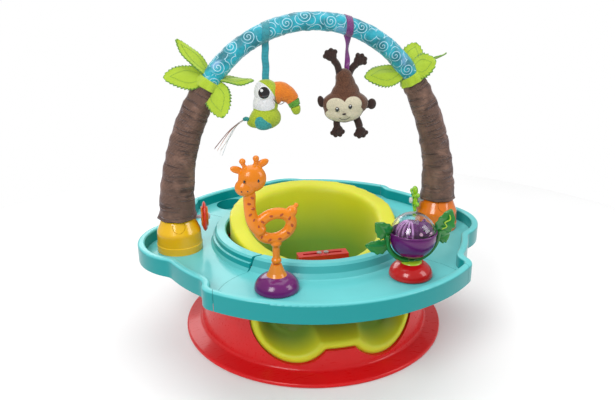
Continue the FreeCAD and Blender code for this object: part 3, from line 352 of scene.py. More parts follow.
@dataclass(frozen=True)
class PrintedSatin:
    """Satin with printed curls and cloud outlines, read from its UV map in metres, under random patches of
    painted shade and painted highlight.
    """

    colour: Steps
    ink: Steps
    cell: float = 23.0

    def make(self, name: str) -> bpy.types.Material:
        """Returns the satin."""
        book = NodeBook(name)
        flat = book.where.outputs["UV"]
        spread = book.stretch(flat, (1000 / self.cell, 1000 / self.cell, 1))
        spot = book.node("ShaderNodeTexVoronoi", {"Vector": spread, "Scale": 1.0, "Randomness": 0.6},
                         voronoi_dimensions="2D")
        gap = book.node("ShaderNodeVectorMath", {0: spread, 1: spot.outputs["Position"]},
                        operation="SUBTRACT")
        parts = book.node("ShaderNodeSeparateXYZ", {0: gap.outputs[0]})
        radius = book.math("SQRT", book.math("ADD", book.math("POWER", parts.outputs["X"], 2.0),
                                             book.math("POWER", parts.outputs["Y"], 2.0)))
        angle = book.math("DIVIDE", book.math("ARCTAN2", parts.outputs["Y"], parts.outputs["X"]), TAU)
        turns = book.math("FRACT", book.math("ADD",
                                             book.math("SUBTRACT", book.math("MULTIPLY", radius, 6.4), angle),
                                             8.0))
        curl = book.ramp(book.math("ABSOLUTE", book.math("SUBTRACT", turns, 0.5)), 0.15, 0.09)
        curl = book.math("MULTIPLY", curl, book.ramp(radius, 0.36, 0.33))
        puff = book.node("ShaderNodeTexVoronoi", {"Vector": flat, "Scale": 62.0, "Randomness": 0.85},
                         voronoi_dimensions="2D")
        band = book.math("ABSOLUTE", book.math("SUBTRACT", puff.outputs["Distance"], 0.47))
        cloud = book.math("MULTIPLY", book.ramp(band, 0.045, 0.018), book.ramp(radius, 0.37, 0.42))
        line = book.math("MAXIMUM", curl, cloud)
        weave = book.node("ShaderNodeTexWave", {"Vector": book.stretch(flat, (1, 1, 1)), "Scale": 900.0,
                                                "Distortion": 1.0})
        # Painted fold shade and painted satin light: broad noise makes the cloth darker and lighter at
        # random.
        tone = book.mix(book.ramp(book.cloud(50, 2), 0.3, 0.7), paint(self.colour, 0.45),
                        paint(self.colour, 1.15))
        # Painted highlight: pale blue patches laid by noise.
        tone = book.mix(book.ramp(book.cloud(34, 3), 0.6, 0.75), tone, paint((120, 170, 214)))
        tone = book.mix(line, tone, paint(self.ink))
        bent = book.relief(weave.outputs["Fac"], 0.00008, 0.5, book.relief(book.cloud(70, 3), 0.003, 0.7))
        return book.finish(Base_Color=tone, Roughness=0.36, Normal=bent, Sheen_Weight=0.25,
                           Sheen_Tint=paint((226, 220, 240)), Anisotropic=0.4)


@dataclass(frozen=True)
class Ribbon:
    """Woven ribbon with ribs across it, read from its UV map in metres."""

    colour: Steps
    roughness: float = 0.55
    rib: float = 0.8

    def make(self, name: str) -> bpy.types.Material:
        """Returns the ribbon."""
        book = NodeBook(name)
        flat = book.node("ShaderNodeSeparateXYZ", {0: book.where.outputs["UV"]})
        wave = book.math("SINE", book.math("MULTIPLY", flat.outputs["Y"], 1000 * TAU / self.rib))
        share = book.math("MULTIPLY_ADD", wave, 0.35, book.cloud(300, 3))
        # Painted shade in the rib grooves and painted light on the crests, with random tone from noise.
        tone = book.mix(book.ramp(share, 0.1, 0.8), paint(self.colour, 0.6), paint(self.colour, 1.15))
        bent = book.relief(wave, 0.0001, 0.6, book.relief(book.cloud(90, 2), 0.0006, 0.4))
        return book.finish(Base_Color=tone, Roughness=self.roughness, Normal=bent, Sheen_Weight=0.4)


@dataclass(frozen=True)
class ClearShell:
    """Clear moulded shell."""

    tint: Steps = (246, 248, 252)

    def make(self, name: str) -> bpy.types.Material:
        """Returns the clear plastic."""
        book = NodeBook(name)
        bent = book.relief(book.cloud(40, 1), 0.0003, 0.15)
        return book.finish(Base_Color=paint(self.tint), Roughness=0.02, Normal=bent, Transmission_Weight=1.0,
                           IOR=1.2, Coat_Weight=0.6, Coat_Roughness=0.02)


@dataclass(frozen=True)
class BrushedSteel:
    """Zinc-plated screw steel with turning marks."""

    def make(self, name: str) -> bpy.types.Material:
        """Returns the steel."""
        book = NodeBook(name)
        marks = book.cloud(1.0, 3, book.stretch(book.where.outputs["Object"], (300, 300, 3000)))
        rough = book.math("MULTIPLY_ADD", marks, 0.25, 0.22)
        return book.finish(Base_Color=paint((190, 190, 194)), Metallic=1.0, Roughness=rough,
                           Normal=book.relief(marks, 0.00003, 0.5))


FINISHES: dict[str, Finish] = {
    "base_red": Moulded((222, 22, 26), 0.28, 0.22, 0.9, shine=0.25),
    "inner_plate": Moulded((176, 34, 34), 0.45, 0.0),
    # The foam's second colour is its painted shade.
    "seat_foam": Foam((220, 220, 30), (108, 158, 62)),
    "belt_red": Moulded((206, 34, 34), 0.3, 0.3),
    "pad_rubber": Moulded((54, 54, 56), 0.75, 0.0),
    "steel": BrushedSteel(),
    "glide_white": Moulded((232, 232, 228), 0.45, 0.0),
    # The tray's wall colour is painted shade on its upright faces.
    "tray_aqua": Moulded((104, 204, 206), 0.3, 0.18, 0.95, wall=(0, 146, 148), shine=0.25),
    "ring_grey": Moulded((138, 142, 146), 0.5, 0.0),
    # The palm dome's wall colour is painted shade on its upright faces.
    "palm_yellow": Moulded((250, 200, 14), 0.2, 0.5, 0.92, wall=(240, 178, 10)),
    "palm_orange": Moulded((240, 122, 18), 0.2, 0.5, 0.92),
    "pin_white": Moulded((226, 222, 232), 0.3, 0.3),
    "tube_plastic": Moulded((92, 150, 156), 0.45, 0.0),
    "sleeve_print": PrintedSatin((22, 164, 184), (172, 216, 232), 29.0),
    "trunk_brown": RibbedCloth((124, 94, 80), (66, 45, 37), 1.9),
    "leaf_felt": Felt((178, 208, 46), (108, 158, 40)),
    "leaf_thread": Ribbon((88, 148, 52), 0.7, 1.2),
    "spinner_red": Moulded((226, 50, 34), 0.28, 0.4),
    "spinner_green": Moulded((150, 206, 40), 0.28, 0.4),
    "suction_purple": Moulded((112, 26, 108), 0.22, 0.45, shine=0.35),
    "suction_red": Moulded((206, 22, 22), 0.2, 0.45, shine=0.35),
    "giraffe_amber": Moulded((236, 140, 34), 0.26, 0.35),
    "giraffe_orange": Moulded((236, 134, 20), 0.26, 0.35, 0.84, shine=0.3),
    "giraffe_spot": Moulded((176, 74, 8), 0.35, 0.2),
    "beet_green": Moulded((34, 130, 46), 0.2, 0.5),
    "beet_lime": Moulded((170, 208, 44), 0.25, 0.5),
    "beet_purple": Moulded((104, 18, 106), 0.2, 0.4, shine=0.3),
    "beet_stripe": Moulded((214, 150, 214), 0.3, 0.3),
    "beet_clear": ClearShell(),
    "ribbon_teal": Ribbon((36, 152, 166), 0.5),
    "ribbon_purple": Ribbon((122, 36, 124), 0.32, 0.5),
    "toucan_lime": Plush((190, 206, 50), (140, 166, 30), (238, 238, 240), 800, 0.3),
    "toucan_beak": Plush((244, 142, 26), (206, 98, 14)),
    "toucan_teal": Plush((66, 172, 170), (30, 122, 122)),
    "toucan_green": Plush((110, 178, 60), (60, 120, 34)),
    "ribbon_white": Ribbon((236, 232, 226), 0.5),
    "ribbon_orange": Ribbon((238, 132, 48), 0.5),
    "ribbon_red": Ribbon((120, 48, 36), 0.5),
    "monkey_brown": Plush((112, 70, 46), (66, 36, 24), (222, 212, 184), 800),
    "monkey_dark": Plush((62, 34, 26), (26, 12, 10), pile=800),
    "thread_dark": Ribbon((48, 28, 22), 0.6, 1.0),
    "bead_black": Moulded((14, 13, 14), 0.12, 0.8),
    "bead_white": Moulded((246, 246, 244), 0.25, 0.4),
    "cheek_pink": Moulded((250, 196, 222), 0.45, 0.1),
}


class Wardrobe:
    """Makes each finish once and hands it out by name."""

    def __init__(self) -> None:
        """Starts with nothing made."""
        self.made: dict[str, bpy.types.Material] = {}

    def get(self, name: str) -> bpy.types.Material:
        """Returns the material of that finish."""
        if name not in self.made:
            self.made[name] = FINISHES[name].make(name)
        return self.made[name]


WARDROBE = Wardrobe()


# ---- shapes -------------------------------------------------------------------------------


def patch(columns: int, rows: int, surface: Surface, width: float, length: float,
          closed: bool = True) -> bmesh.types.BMesh:
    """Bends a flat grid onto a surface and keeps its flat size as the UV map.

    Args:
        columns: Cells across.
        rows: Cells along.
        surface: Gives a point from the shares across and along.
        width: Flat width in millimetres.
        length: Flat length in millimetres.
        closed: Whether touching edges are joined.

    Returns:
        The bent grid.
    """
    form = bmesh.new()
    bmesh.ops.create_grid(form, x_segments=columns, y_segments=rows, size=0.5)
    layer = form.loops.layers.uv.verify()
    for face in form.faces:
        for loop in face.loops:
            loop[layer].uv = ((loop.vert.co.x + 0.5) * width * MM, (loop.vert.co.y + 0.5) * length * MM)
    for vert in form.verts:
        vert.co = surface(vert.co.x + 0.5, vert.co.y + 0.5)
    if closed:
        bmesh.ops.remove_doubles(form, verts=form.verts, dist=0.00002)
        bmesh.ops.recalc_face_normals(form, faces=form.faces)
    return form


def egg(centre: Vector, half: Sequence[float], turn: Optional[Matrix] = None,
        fine: int = 24) -> bmesh.types.BMesh:
    """Returns an egg with the given half sizes in millimetres, turned about its centre."""
    form = bmesh.new()
    size = Matrix.Diagonal((half[0] * MM, half[1] * MM, half[2] * MM, 1))
    place = Matrix.Translation(centre) @ (turn or Matrix.Identity(4)) @ size
    bmesh.ops.create_uvsphere(form, u_segments=fine, v_segments=fine // 2 + 2, radius=1, matrix=place)
    return form


def lathe(profile: Sequence[tuple[float, float]], centre: Vector, turn: Optional[Matrix] = None,
          steps: int = 48) -> bmesh.types.BMesh:
    """Spins a profile of (radius, height) in millimetres about an upright axis through centre."""
    form = bmesh.new()
    verts = [form.verts.new((radius * MM, 0, height * MM)) for radius, height in profile]
    edges = [form.edges.new(pair) for pair in zip(verts, verts[1:])]
    bmesh.ops.spin(form, geom=verts + edges, cent=(0, 0, 0), axis=(0, 0, 1), angle=TAU, steps=steps,
                   use_merge=True, use_duplicate=False)
    bmesh.ops.remove_doubles(form, verts=form.verts, dist=0.00001)
    bmesh.ops.recalc_face_normals(form, faces=form.faces)
    bmesh.ops.transform(form, matrix=Matrix.Translation(centre) @ (turn or Matrix.Identity(4)),
                        verts=form.verts)
    return form


def through(points: Sequence[Sequence[float]]) -> Line:
    """Returns a smooth line through points in millimetres."""
    knots = [Vector(p) * MM for p in points]
    spans = len(knots) - 1

    def line(share: float) -> Vector:
        """Returns the point at a share of the line."""
        place = min(max(share, 0.0), 1.0) * spans
        first = min(int(place), spans - 1)
        t = place - first
        b, c = knots[first], knots[first + 1]
        a = knots[first - 1] if first > 0 else b * 2 - c
        d = knots[first + 2] if first + 2 <= spans else c * 2 - b
        curve = b * 2 + (c - a) * t + (a * 2 - b * 5 + c * 4 - d) * t * t
        return 0.5 * (curve + (b * 3 - a - c * 3 + d) * t ** 3)

    return line


def tube(line: Line, side: Vector, radius: Callable[[float, float], float], columns: int, rows: int,
         girth: float, length: float, flat: float = 1.0) -> bmesh.types.BMesh:
    """Makes a tube round a line.

    Args:
        line: The centre line.
        side: A direction that the line never takes.
        radius: Radius in millimetres from the shares round and along.
        columns: Cells round.
        rows: Cells along.
        girth: Flat size round in millimetres, for the UV map.
        length: Flat size along in millimetres, for the UV map.
        flat: Factor on the width across `side`.

    Returns:
        The tube, closed where its radius is 0 at both ends.
    """

    def surface(u: float, v: float) -> Vector:
        """Returns a point of the tube."""
        ahead = (line(min(v + 0.004, 1.0)) - line(max(v - 0.004, 0.0))).normalized()
        out = ahead.cross(side).normalized()
        other = out.cross(ahead)
        turn = TAU * u
        return line(v) + (out * math.cos(turn) + other * math.sin(turn) * flat) * radius(u, v) * MM

    return patch(columns, rows, surface, girth, length)


def rounded(share: float, end: float) -> float:
    """Returns the share of its full radius that a round-ended rod has, with ends of that length."""
    near = min(share, 1 - share)
    return 1.0 if near >= end else math.sqrt(max(0.0, 1 - ((end - near) / end) ** 2))


def rod(points: Sequence[Sequence[float]], radii: Sequence[float], side: Vector = Vector((0, 1, 0)),
        columns: int = 20, rows: int = 32, flat: float = 1.0, end: float = 0.1) -> bmesh.types.BMesh:
    """Returns a round-ended rod through points in millimetres, its radius going through `radii`."""
    line = through(points)
    span = sum((line(i / 20) - line((i + 1) / 20)).length for i in range(20)) / MM
    steps = len(radii) - 1

    def radius(_: float, v: float) -> float:
        """Returns the radius at a share of the rod."""
        place = v * steps
        first = min(int(place), steps - 1)
        return (radii[first] + (radii[first + 1] - radii[first]) * (place - first)) * rounded(v, end)

    return tube(line, side, radius, columns, rows, TAU * max(radii), span, flat)


def fuse(forms: Sequence[bmesh.types.BMesh], voxel: float, rounds: int) -> bmesh.types.BMesh:
    """Melts overlapping closed forms into one even skin.

    Args:
        forms: The closed forms, freed here.
        voxel: Size of the skin's cells in millimetres.
        rounds: How often the skin is evened.

    Returns:
        The skin.
    """
    whole = bmesh.new()
    for form in forms:
        loose = bpy.data.meshes.new("loose")
        form.to_mesh(loose)
        form.free()
        whole.from_mesh(loose)
        bpy.data.meshes.remove(loose)
    mesh = bpy.data.meshes.new("skin")
    whole.to_mesh(mesh)
    whole.free()
    holder = bpy.data.objects.new("skin", mesh)
    bpy.context.scene.collection.objects.link(holder)
    skin = holder.modifiers.new("skin", "REMESH")
    skin.mode, skin.voxel_size = "VOXEL", voxel * MM
    even = holder.modifiers.new("even", "SMOOTH")
    even.factor, even.iterations = 0.5, rounds
    done = bpy.data.meshes.new_from_object(holder.evaluated_get(bpy.context.evaluated_depsgraph_get()))
    result = bmesh.new()
    result.from_mesh(done)
    bpy.data.objects.remove(holder)
    for old in (mesh, done):
        bpy.data.meshes.remove(old)
    return result


def node_form(node: bpy.types.Object) -> bmesh.types.BMesh:
    """Returns a merged copy of a CAD node's mesh."""
    form = bmesh.new()
    form.from_mesh(node.data)
    bmesh.ops.remove_doubles(form, verts=form.verts, dist=0.00001)
    return form


def ruffle(form: bmesh.types.BMesh, depth: float, spots: float, seed: float = 0.0) -> None:
    """Moves a skin in and out by noise, its depth in millimetres and its spots per metre."""
    form.normal_update()
    shift = Vector((seed, seed * 0.7, -seed))
    for vert in form.verts:
        vert.co += vert.normal * noise.noise(vert.co * spots + shift) * depth * MM


def mark(form: bmesh.types.BMesh, name: str, value: Callable[[Vector], float]) -> None:
    """Writes a number at each vertex that a finish can read."""
    layer = form.verts.layers.float.new(name)
    for vert in form.verts:
        vert[layer] = value(vert.co)


@dataclass
class Piece:
    """One named piece of one finish, put together from forms."""

    name: str
    body: str
    slot: str
    finish: str = ""
    forms: list[bmesh.types.BMesh] = field(default_factory=list)

    def build(self, replaces: Sequence[str] = (), thick: float = 0.0,
              smooth_levels: int = 0) -> bpy.types.Object:
        """Makes the object, dresses it and puts it on its body.

        Args:
            replaces: CAD nodes that it stands for.
            thick: Thickness in millimetres that a sheet gets.
            smooth_levels: Subdivision levels.

        Returns:
            The object.
        """
        whole = bmesh.new()
        for form in self.forms:
            loose = bpy.data.meshes.new("loose")
            form.to_mesh(loose)
            form.free()
            whole.from_mesh(loose)
            bpy.data.meshes.remove(loose)
        mesh = bpy.data.meshes.new(self.name)
        whole.to_mesh(mesh)
        whole.free()
        mesh.polygons.foreach_set("use_smooth", [True] * len(mesh.polygons))
        mesh.materials.append(WARDROBE.get(self.finish or self.slot))
        made = bpy.data.objects.new(self.name, mesh)
        bpy.context.scene.collection.objects.link(made)
        if thick:
            wall = made.modifiers.new("thickness", "SOLIDIFY")
            wall.thickness, wall.offset = thick * MM, 0.0
        if smooth_levels:
            soft = made.modifiers.new("smooth", "SUBSURF")
            soft.levels = soft.render_levels = smooth_levels
        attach(made, self.body)
        if replaces:
            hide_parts(*replaces)
        LOG.info("%s rides on %s", self.name, self.body)
        return made


def turned(axis: str, degrees: float) -> Matrix:
    """Returns a turn about an axis."""
    return Matrix.Rotation(math.radians(degrees), 4, axis)


# ---- the seat -----------------------------------------------------------------------------


@dataclass
class SeatInsert:
    """The foam bucket with a rolled rim and the front skirt that fills the base's leg opening."""

    voxel: float = 2.6
    rounds: int = 10
    unevenness: float = 0.6
    lobe_x: float = 68.0
    lobe_z: float = 78.0
    lobe_radius: float = 58.0
    saddle_z: float = 42.5
    top_z: float = 122.0
    hole_x: float = 62.0
    hole_z: float = 80.0
    hole_radius: float = 33.0
    bucket_outer: float = 141.8

    def inside(self, x: float, z: float) -> float:
        """Returns how far a point lies inside the leg opening's outline, in millimetres."""
        lobe = self.lobe_radius - math.hypot(abs(x) - self.lobe_x, z - self.lobe_z)
        if z > self.lobe_z:
            lobe = max(lobe, self.lobe_x + self.lobe_radius - abs(x))
        if abs(x) < self.lobe_x:
            lobe = max(lobe, min(z - self.saddle_z, 40.0)) if z > self.saddle_z - 6 or lobe < 0 else lobe
        return lobe

    def skirt(self) -> bmesh.types.BMesh:
        """Makes the skirt: a rounded lip inside the opening and a hollow round each leg hole."""
        form = bmesh.new()
        step = 2.4
        spots: dict[tuple[int, int], list] = {}
        cells = []
        for i in range(-55, 55):
            for j in range(6, 51):
                x, z = (i + 0.5) * step, (j + 0.5) * step
                hole = math.hypot(abs(x) - self.hole_x, z - self.hole_z) - (self.hole_radius - 1)
                if self.inside(x, z) > -5 and z < self.top_z and hole > 0:
                    cells.append((i, j))
        for i, j in cells:
            for key in ((i, j), (i + 1, j), (i + 1, j + 1), (i, j + 1)):
                if key in spots:
                    continue
                x, z = key[0] * step, key[1] * step
                share = self.inside(x, z)
                drum = 187 - (z - 13) * 9 / 111
                proud = min(max((share + 1) / 5, 0.0), 1.0)
                fall = min(max((share - 10) / 16, 0.0), 1.0)
                fall = fall * fall * (3 - 2 * fall)
                reach = drum - 6.5 + 5.5 * math.sin(proud * math.pi / 2)
                reach += (self.bucket_outer - 3 - reach) * fall
                front = -math.sqrt(max(reach * reach - x * x, 1.0))
                spots[key] = [form.verts.new((x * MM, front * MM, z * MM)),
                              form.verts.new((x * MM, (front + 13) * MM, z * MM))]
        there = set(cells)
        for i, j in cells:
            a, b, c, d = spots[(i, j)], spots[(i + 1, j)], spots[(i + 1, j + 1)], spots[(i, j + 1)]
            form.faces.new((a[0], b[0], c[0], d[0]))
            form.faces.new((d[1], c[1], b[1], a[1]))
            for near, first, last in (((i, j - 1), b, a), ((i + 1, j), c, b), ((i, j + 1), d, c),
                                      ((i - 1, j), a, d)):
                if near not in there:
                    form.faces.new((first[0], last[0], last[1], first[1]))
        bmesh.ops.recalc_face_normals(form, faces=form.faces)
        return form

    def build(self, node: bpy.types.Object) -> None:
        """Makes the foam from its CAD node and the skirt, and marks painted shade in the bucket and round the
        legs.
        """
        form = fuse([node_form(node), self.skirt()], self.voxel, self.rounds)
        roll = [v for v in form.verts if math.hypot(v.co.x, v.co.y) < 0.131 and v.co.z > 0.118]
        for _ in range(45):
            bmesh.ops.smooth_vert(form, verts=roll, factor=0.5, use_axis_x=True, use_axis_y=True,
                                  use_axis_z=True)
        ruffle(form, self.unevenness, 28)

        def deep(co: Vector) -> float:
            """Returns how much painted shade the foam gets: more the lower it lies in the bucket and towards
            the back, and inside the leg holes behind the skirt's lip.
            """
            x, y, z = co.x / MM, co.y / MM, co.z / MM
            reach = math.hypot(x, y)
            if reach < 122:
                low = min(max((176 - z) / 80, 0.0), 1.0)
                return 0.9 * min(1.0, low * (0.75 + 0.25 * min(max((y + 60) / 120, 0.0), 1.0)))
            drum = 187 - (z - 13) * 9 / 111
            return 0.85 * min(max((drum - reach - 8) / 30, 0.0), 1.0) if y < 0 and z < 124 else 0.0

        # Painted shade, stored as the `deep` attribute for the foam finish.
        mark(form, "deep", deep)
        seat = Piece("seat_foam_insert", "base", "seat_foam", forms=[form]).build(["seat_insert"])


# ---- the toy bar --------------------------------------------------------------------------


@dataclass
class ToyBar:
    """The arch over the tray: printed sleeve, stuffed trunks and felt leaves."""

    crown_radius: float = 187.0
    crown_z: float = 303.0
    hub_angle: float = 57.5
    foot_x: float = 216.7
    sleeve_radius: float = 13.6
    trunk_low: float = 199.0
    trunk_radii: tuple[float, ...] = (29.0, 27.6, 26.0, 24.6, 23.6, 22.8, 22.2, 21.4, 20.0)
    leaves: tuple = (
        ("leaf_left_out", Side.LEFT, 188, 5, -52, 65, 18.5, 0.10, 0.18),
        ("leaf_left_up", Side.LEFT, 166, 48, -34, 68, 12, 0.05, 0.08),
        ("leaf_left_down", Side.LEFT, 280, -46, 28, 62, 18, 0.22, 0.10),
        ("leaf_left_in", Side.LEFT, -4, -5, 12, 55, 14, 0.15, 0.06),
        ("leaf_right_in", Side.RIGHT, 187, -3, -50, 67, 18, 0.35, 0.12),
        ("leaf_right_down", Side.RIGHT, 328, 24, 60, 40, 19.5, 0.08, 0.15),
        ("leaf_right_out", Side.RIGHT, 26, 15, -24, 86, 13, 0.05, 0.05),
        ("leaf_right_up", Side.RIGHT, 50, 48, 25, 50, 18, 0.10, 0.15),
    )
    leaf_start: float = 5.0

    def crown(self, degrees: float) -> Vector:
        """Returns a point of the crown's centre line, counted from straight up towards +X."""
        turn = math.radians(degrees)
        return at(self.crown_radius * math.sin(turn), 0, self.crown_z + self.crown_radius * math.cos(turn))

    def side_line(self, side: Side) -> Line:
        """Returns the trunk's centre line, from hem to hub."""
        hub = math.radians(self.hub_angle)
        radius = (self.foot_x - self.crown_radius * math.sin(hub)) / (1 - math.sin(hub))
        middle_x = self.foot_x - radius
        middle_z = self.crown_z - (radius - self.crown_radius) * math.cos(hub)
        low = math.asin((self.trunk_low - middle_z) / radius)
        high = math.radians(90 - self.hub_angle)

        def line(share: float) -> Vector:
            """Returns the point at a share from hem to hub."""
            turn = low + (high - low) * share
            return at(side.value * (middle_x + radius * math.cos(turn)), 0,
                      middle_z + radius * math.sin(turn))

        return line

    def build(self) -> None:
        """Makes the bar's soft pieces."""
        self.sleeve()
        for side in Side:
            self.trunk(side)
            self.collar(side)
        for leaf in self.leaves:
            self.leaf(*leaf)

    def sleeve(self) -> None:
        """Makes the printed sleeve, puckered where it meets the hubs."""
        half = self.hub_angle + 1.2
        length = 2 * math.radians(half) * self.crown_radius

        def radius(u: float, v: float) -> float:
            """Returns the sleeve's radius, drawn in at both ends."""
            near = min(v, 1 - v)
            pull = 1 - math.exp(-near * 40)
            pucker = math.sin(TAU * u * 11 + 4 * math.sin(TAU * u)) * 0.5 * math.exp(-near * 22)
            fold = noise.noise(Vector((math.cos(TAU * u) * 1.6, math.sin(TAU * u) * 1.6, v * 26))) * 0.9
            if near < 0.001:
                return 11.2
            flare = 1.5 * abs(2 * v - 1) ** 2
            crease = -abs(noise.noise(Vector((math.cos(TAU * u) + v * 34, math.sin(TAU * u),
                                              v * 9)))) ** 0.5 * 1.2
            return self.sleeve_radius - 0.7 + 1.3 * pull + flare + pucker + fold * 0.8 + crease

        form = tube(lambda v: self.crown(-half + 2 * half * v), Vector((0, 1, 0)), radius, 48, 260,
                    TAU * self.sleeve_radius, length)
        made = Piece("printed_sleeve", "toy_bar", "sleeve_print", forms=[form]).build(["bar_sleeve"])
        wall = made.modifiers.new("wall", "SOLIDIFY")
        wall.thickness, wall.offset = 2 * MM, -1.0

    def trunk(self, side: Side) -> None:
        """Makes one stuffed trunk with ribs, creases and a wavy hem."""
        line = self.side_line(side)
        stations = self.trunk_radii
        shift = 7.3 if side is Side.LEFT else 2.1

        def radius(u: float, v: float) -> float:
            """Returns the trunk's radius with its folds."""
            place = v * (len(stations) - 1)
            first = min(int(place), len(stations) - 2)
            plain = stations[first] + (stations[first + 1] - stations[first]) * (place - first)
            ring = Vector((math.cos(TAU * u), math.sin(TAU * u), 0))
            fold = noise.noise(ring * 1.2 + Vector((0, shift, v * 15))) * 0.9
            crease = -abs(noise.noise(ring * 0.7 + Vector((shift, 0, v * 11)))) ** 0.6 * 1.6
            crease -= max(0.0, 0.12 - abs(noise.noise(ring * 0.5 + Vector((0, v * 6, shift))))) * 10
            inner = max(0.0, -side.value * ring.x) * math.sin(v * TAU * 9 + shift) * 0.4
            hem = math.exp(-v * 30) * (1.4 + 1.0 * math.sin(TAU * u * 7 + shift))
            top = -3.5 * math.exp(-(1 - v) * 34)
            return plain + fold + crease + inner + hem + top

        form = tube(line, Vector((0, 1, 0)), radius, 72, 240, TAU * 25, 218)
        rim = max(form.verts, key=lambda vert: vert.co.z).co.z
        lows = [e for e in form.edges if e.is_boundary and (e.verts[0].co.z < rim - 0.1)]
        grown = bmesh.ops.extrude_edge_only(form, edges=lows)["geom"]
        ring = [g for g in grown if isinstance(g, bmesh.types.BMVert)]
        middle = line(0)
        for vert in ring:
            flat = Vector((vert.co.x - middle.x, vert.co.y, 0))
            vert.co = Vector((middle.x, 0, vert.co.z + 0.004)) + flat.normalized() * 0.0235
        bmesh.ops.recalc_face_normals(form, faces=form.faces)
        made = Piece(f"stuffed_trunk_{side.name.lower()}", "toy_bar", "trunk_brown", forms=[form]).build(
            [f"trunk_{side.name.lower()}"])

    def collar(self, side: Side) -> None:
        """Makes the gathered felt collar where the leaves meet over the sleeve's end."""
        start, stop = self.hub_angle - 1.5, self.hub_angle + 2.6

        def radius(u: float, v: float) -> float:
            """Returns the collar's radius, flaring to its pleated lower edge."""
            return 15.6 + 4.9 * v ** 0.8 + math.sin(TAU * u * 8) * (0.3 + 0.9 * v)

        form = tube(lambda v: self.crown(side.value * (start + (stop - start) * v)), Vector((0, 1, 0)),
                    radius, 96, 14,
                    110, 26)
        mark(form, "rim", lambda co: 0.0)
        made = Piece(f"leaf_collar_{side.name.lower()}", "toy_bar", "leaf_felt", forms=[form]).build()
        wall = made.modifiers.new("wall", "SOLIDIFY")
        wall.thickness, wall.offset = 2 * MM, 0.0

    def leaf(self, name: str, side: Side, yaw: float, rise: float, roll: float, length: float, half: float,
             fold: float, droop: float) -> None:
        """Makes one felt leaf with a toothed edge and a stitched vein.

        Args:
            name: The CAD leaf that it stands for.
            side: The trunk that it grows from.
            yaw: Turn about the upright axis, in degrees.
            rise: How far it points up, in degrees.
            roll: Turn about its own length, in degrees.
            length: Its length in millimetres.
            half: Its half width in millimetres.
            fold: How far its halves bend back from the vein.
            droop: How far its tip hangs, as a share of its length.
        """
        hub = self.crown(side.value * (self.hub_angle - 3))
        frame = Matrix.Translation(hub) @ turned("Z", yaw) @ turned("Y", -rise) @ turned("X", roll)
        shift = yaw * 0.37

        def outline(v: float) -> float:
            """Returns the half width at a share of the length, with teeth."""
            plain = math.sin(math.pi * min(1.0, v ** 0.9)) ** 0.62 if 0 < v < 1 else 0.0
            return half * plain + 2.2 * (1 - v)

        def point(across: float, v: float, lift: float) -> Vector:
            """Returns a point of the blade from -1 to 1 across, raised by a lift."""
            tooth = (v * length / 5.2) % 1.0
            wide = outline(v) * (1 + 0.17 * (tooth - 0.5) * abs(across) ** 5)
            y = across * wide
            x = self.leaf_start + length * v + 2.0 * tooth * abs(across) ** 5
            z = -fold * abs(y) - droop * length * (v ** 2) * 0.35
            z += 0.10 * length * droop * math.sin(math.pi * v)
            ripple = noise.noise(Vector((v * 3, across, shift)))
            z += 1.3 * across ** 2 * math.sin(v * 9 + shift) + ripple * 1.6
            return frame @ at(x, y, z + lift)

        form = patch(26, 76, lambda u, v: point(2 * u - 1, v, 0.0), 2 * half, length, closed=False)
        rim = form.verts.layers.float.new("rim")
        uv = form.loops.layers.uv.verify()
        for face in form.faces:
            for loop in face.loops:
                share = loop[uv].uv.x / (2 * half * MM) * 2 - 1
                ends = abs(loop[uv].uv.y / (length * MM) * 2 - 1)
                loop.vert[rim] = max(abs(share), ends ** 6)
        bmesh.ops.recalc_face_normals(form, faces=form.faces)
        blade = Piece(f"felt_{name}", "toy_bar", "leaf_felt", forms=[form]).build([name], thick=2.0)

        stitches = []
        for lift in (1.25, -1.25):
            for number in range(22):
                share = number / 22
                start, stop = share + 0.006, share + 0.034
                for edge in (-1, 1):
                    spots = []
                    for v in (start, (start + stop) / 2, stop):
                        place = 0.10 + 0.78 * v
                        across = edge * 0.52 * math.sin(math.pi * min(1.0,
                                                                      v * 1.02)) ** 0.8 if 0 < v < 1 else 0.0
                        spots.append(point(across, place, lift) / MM)
                    stitches.append(rod(spots, (0.42, 0.42), Vector((0.3, 0.2, 1)), 6, 4, end=0.3))
        thread = Piece(f"stitching_{name}", "toy_bar", "leaf_felt", "leaf_thread", stitches).build()


# ---- hanging toys -------------------------------------------------------------------------


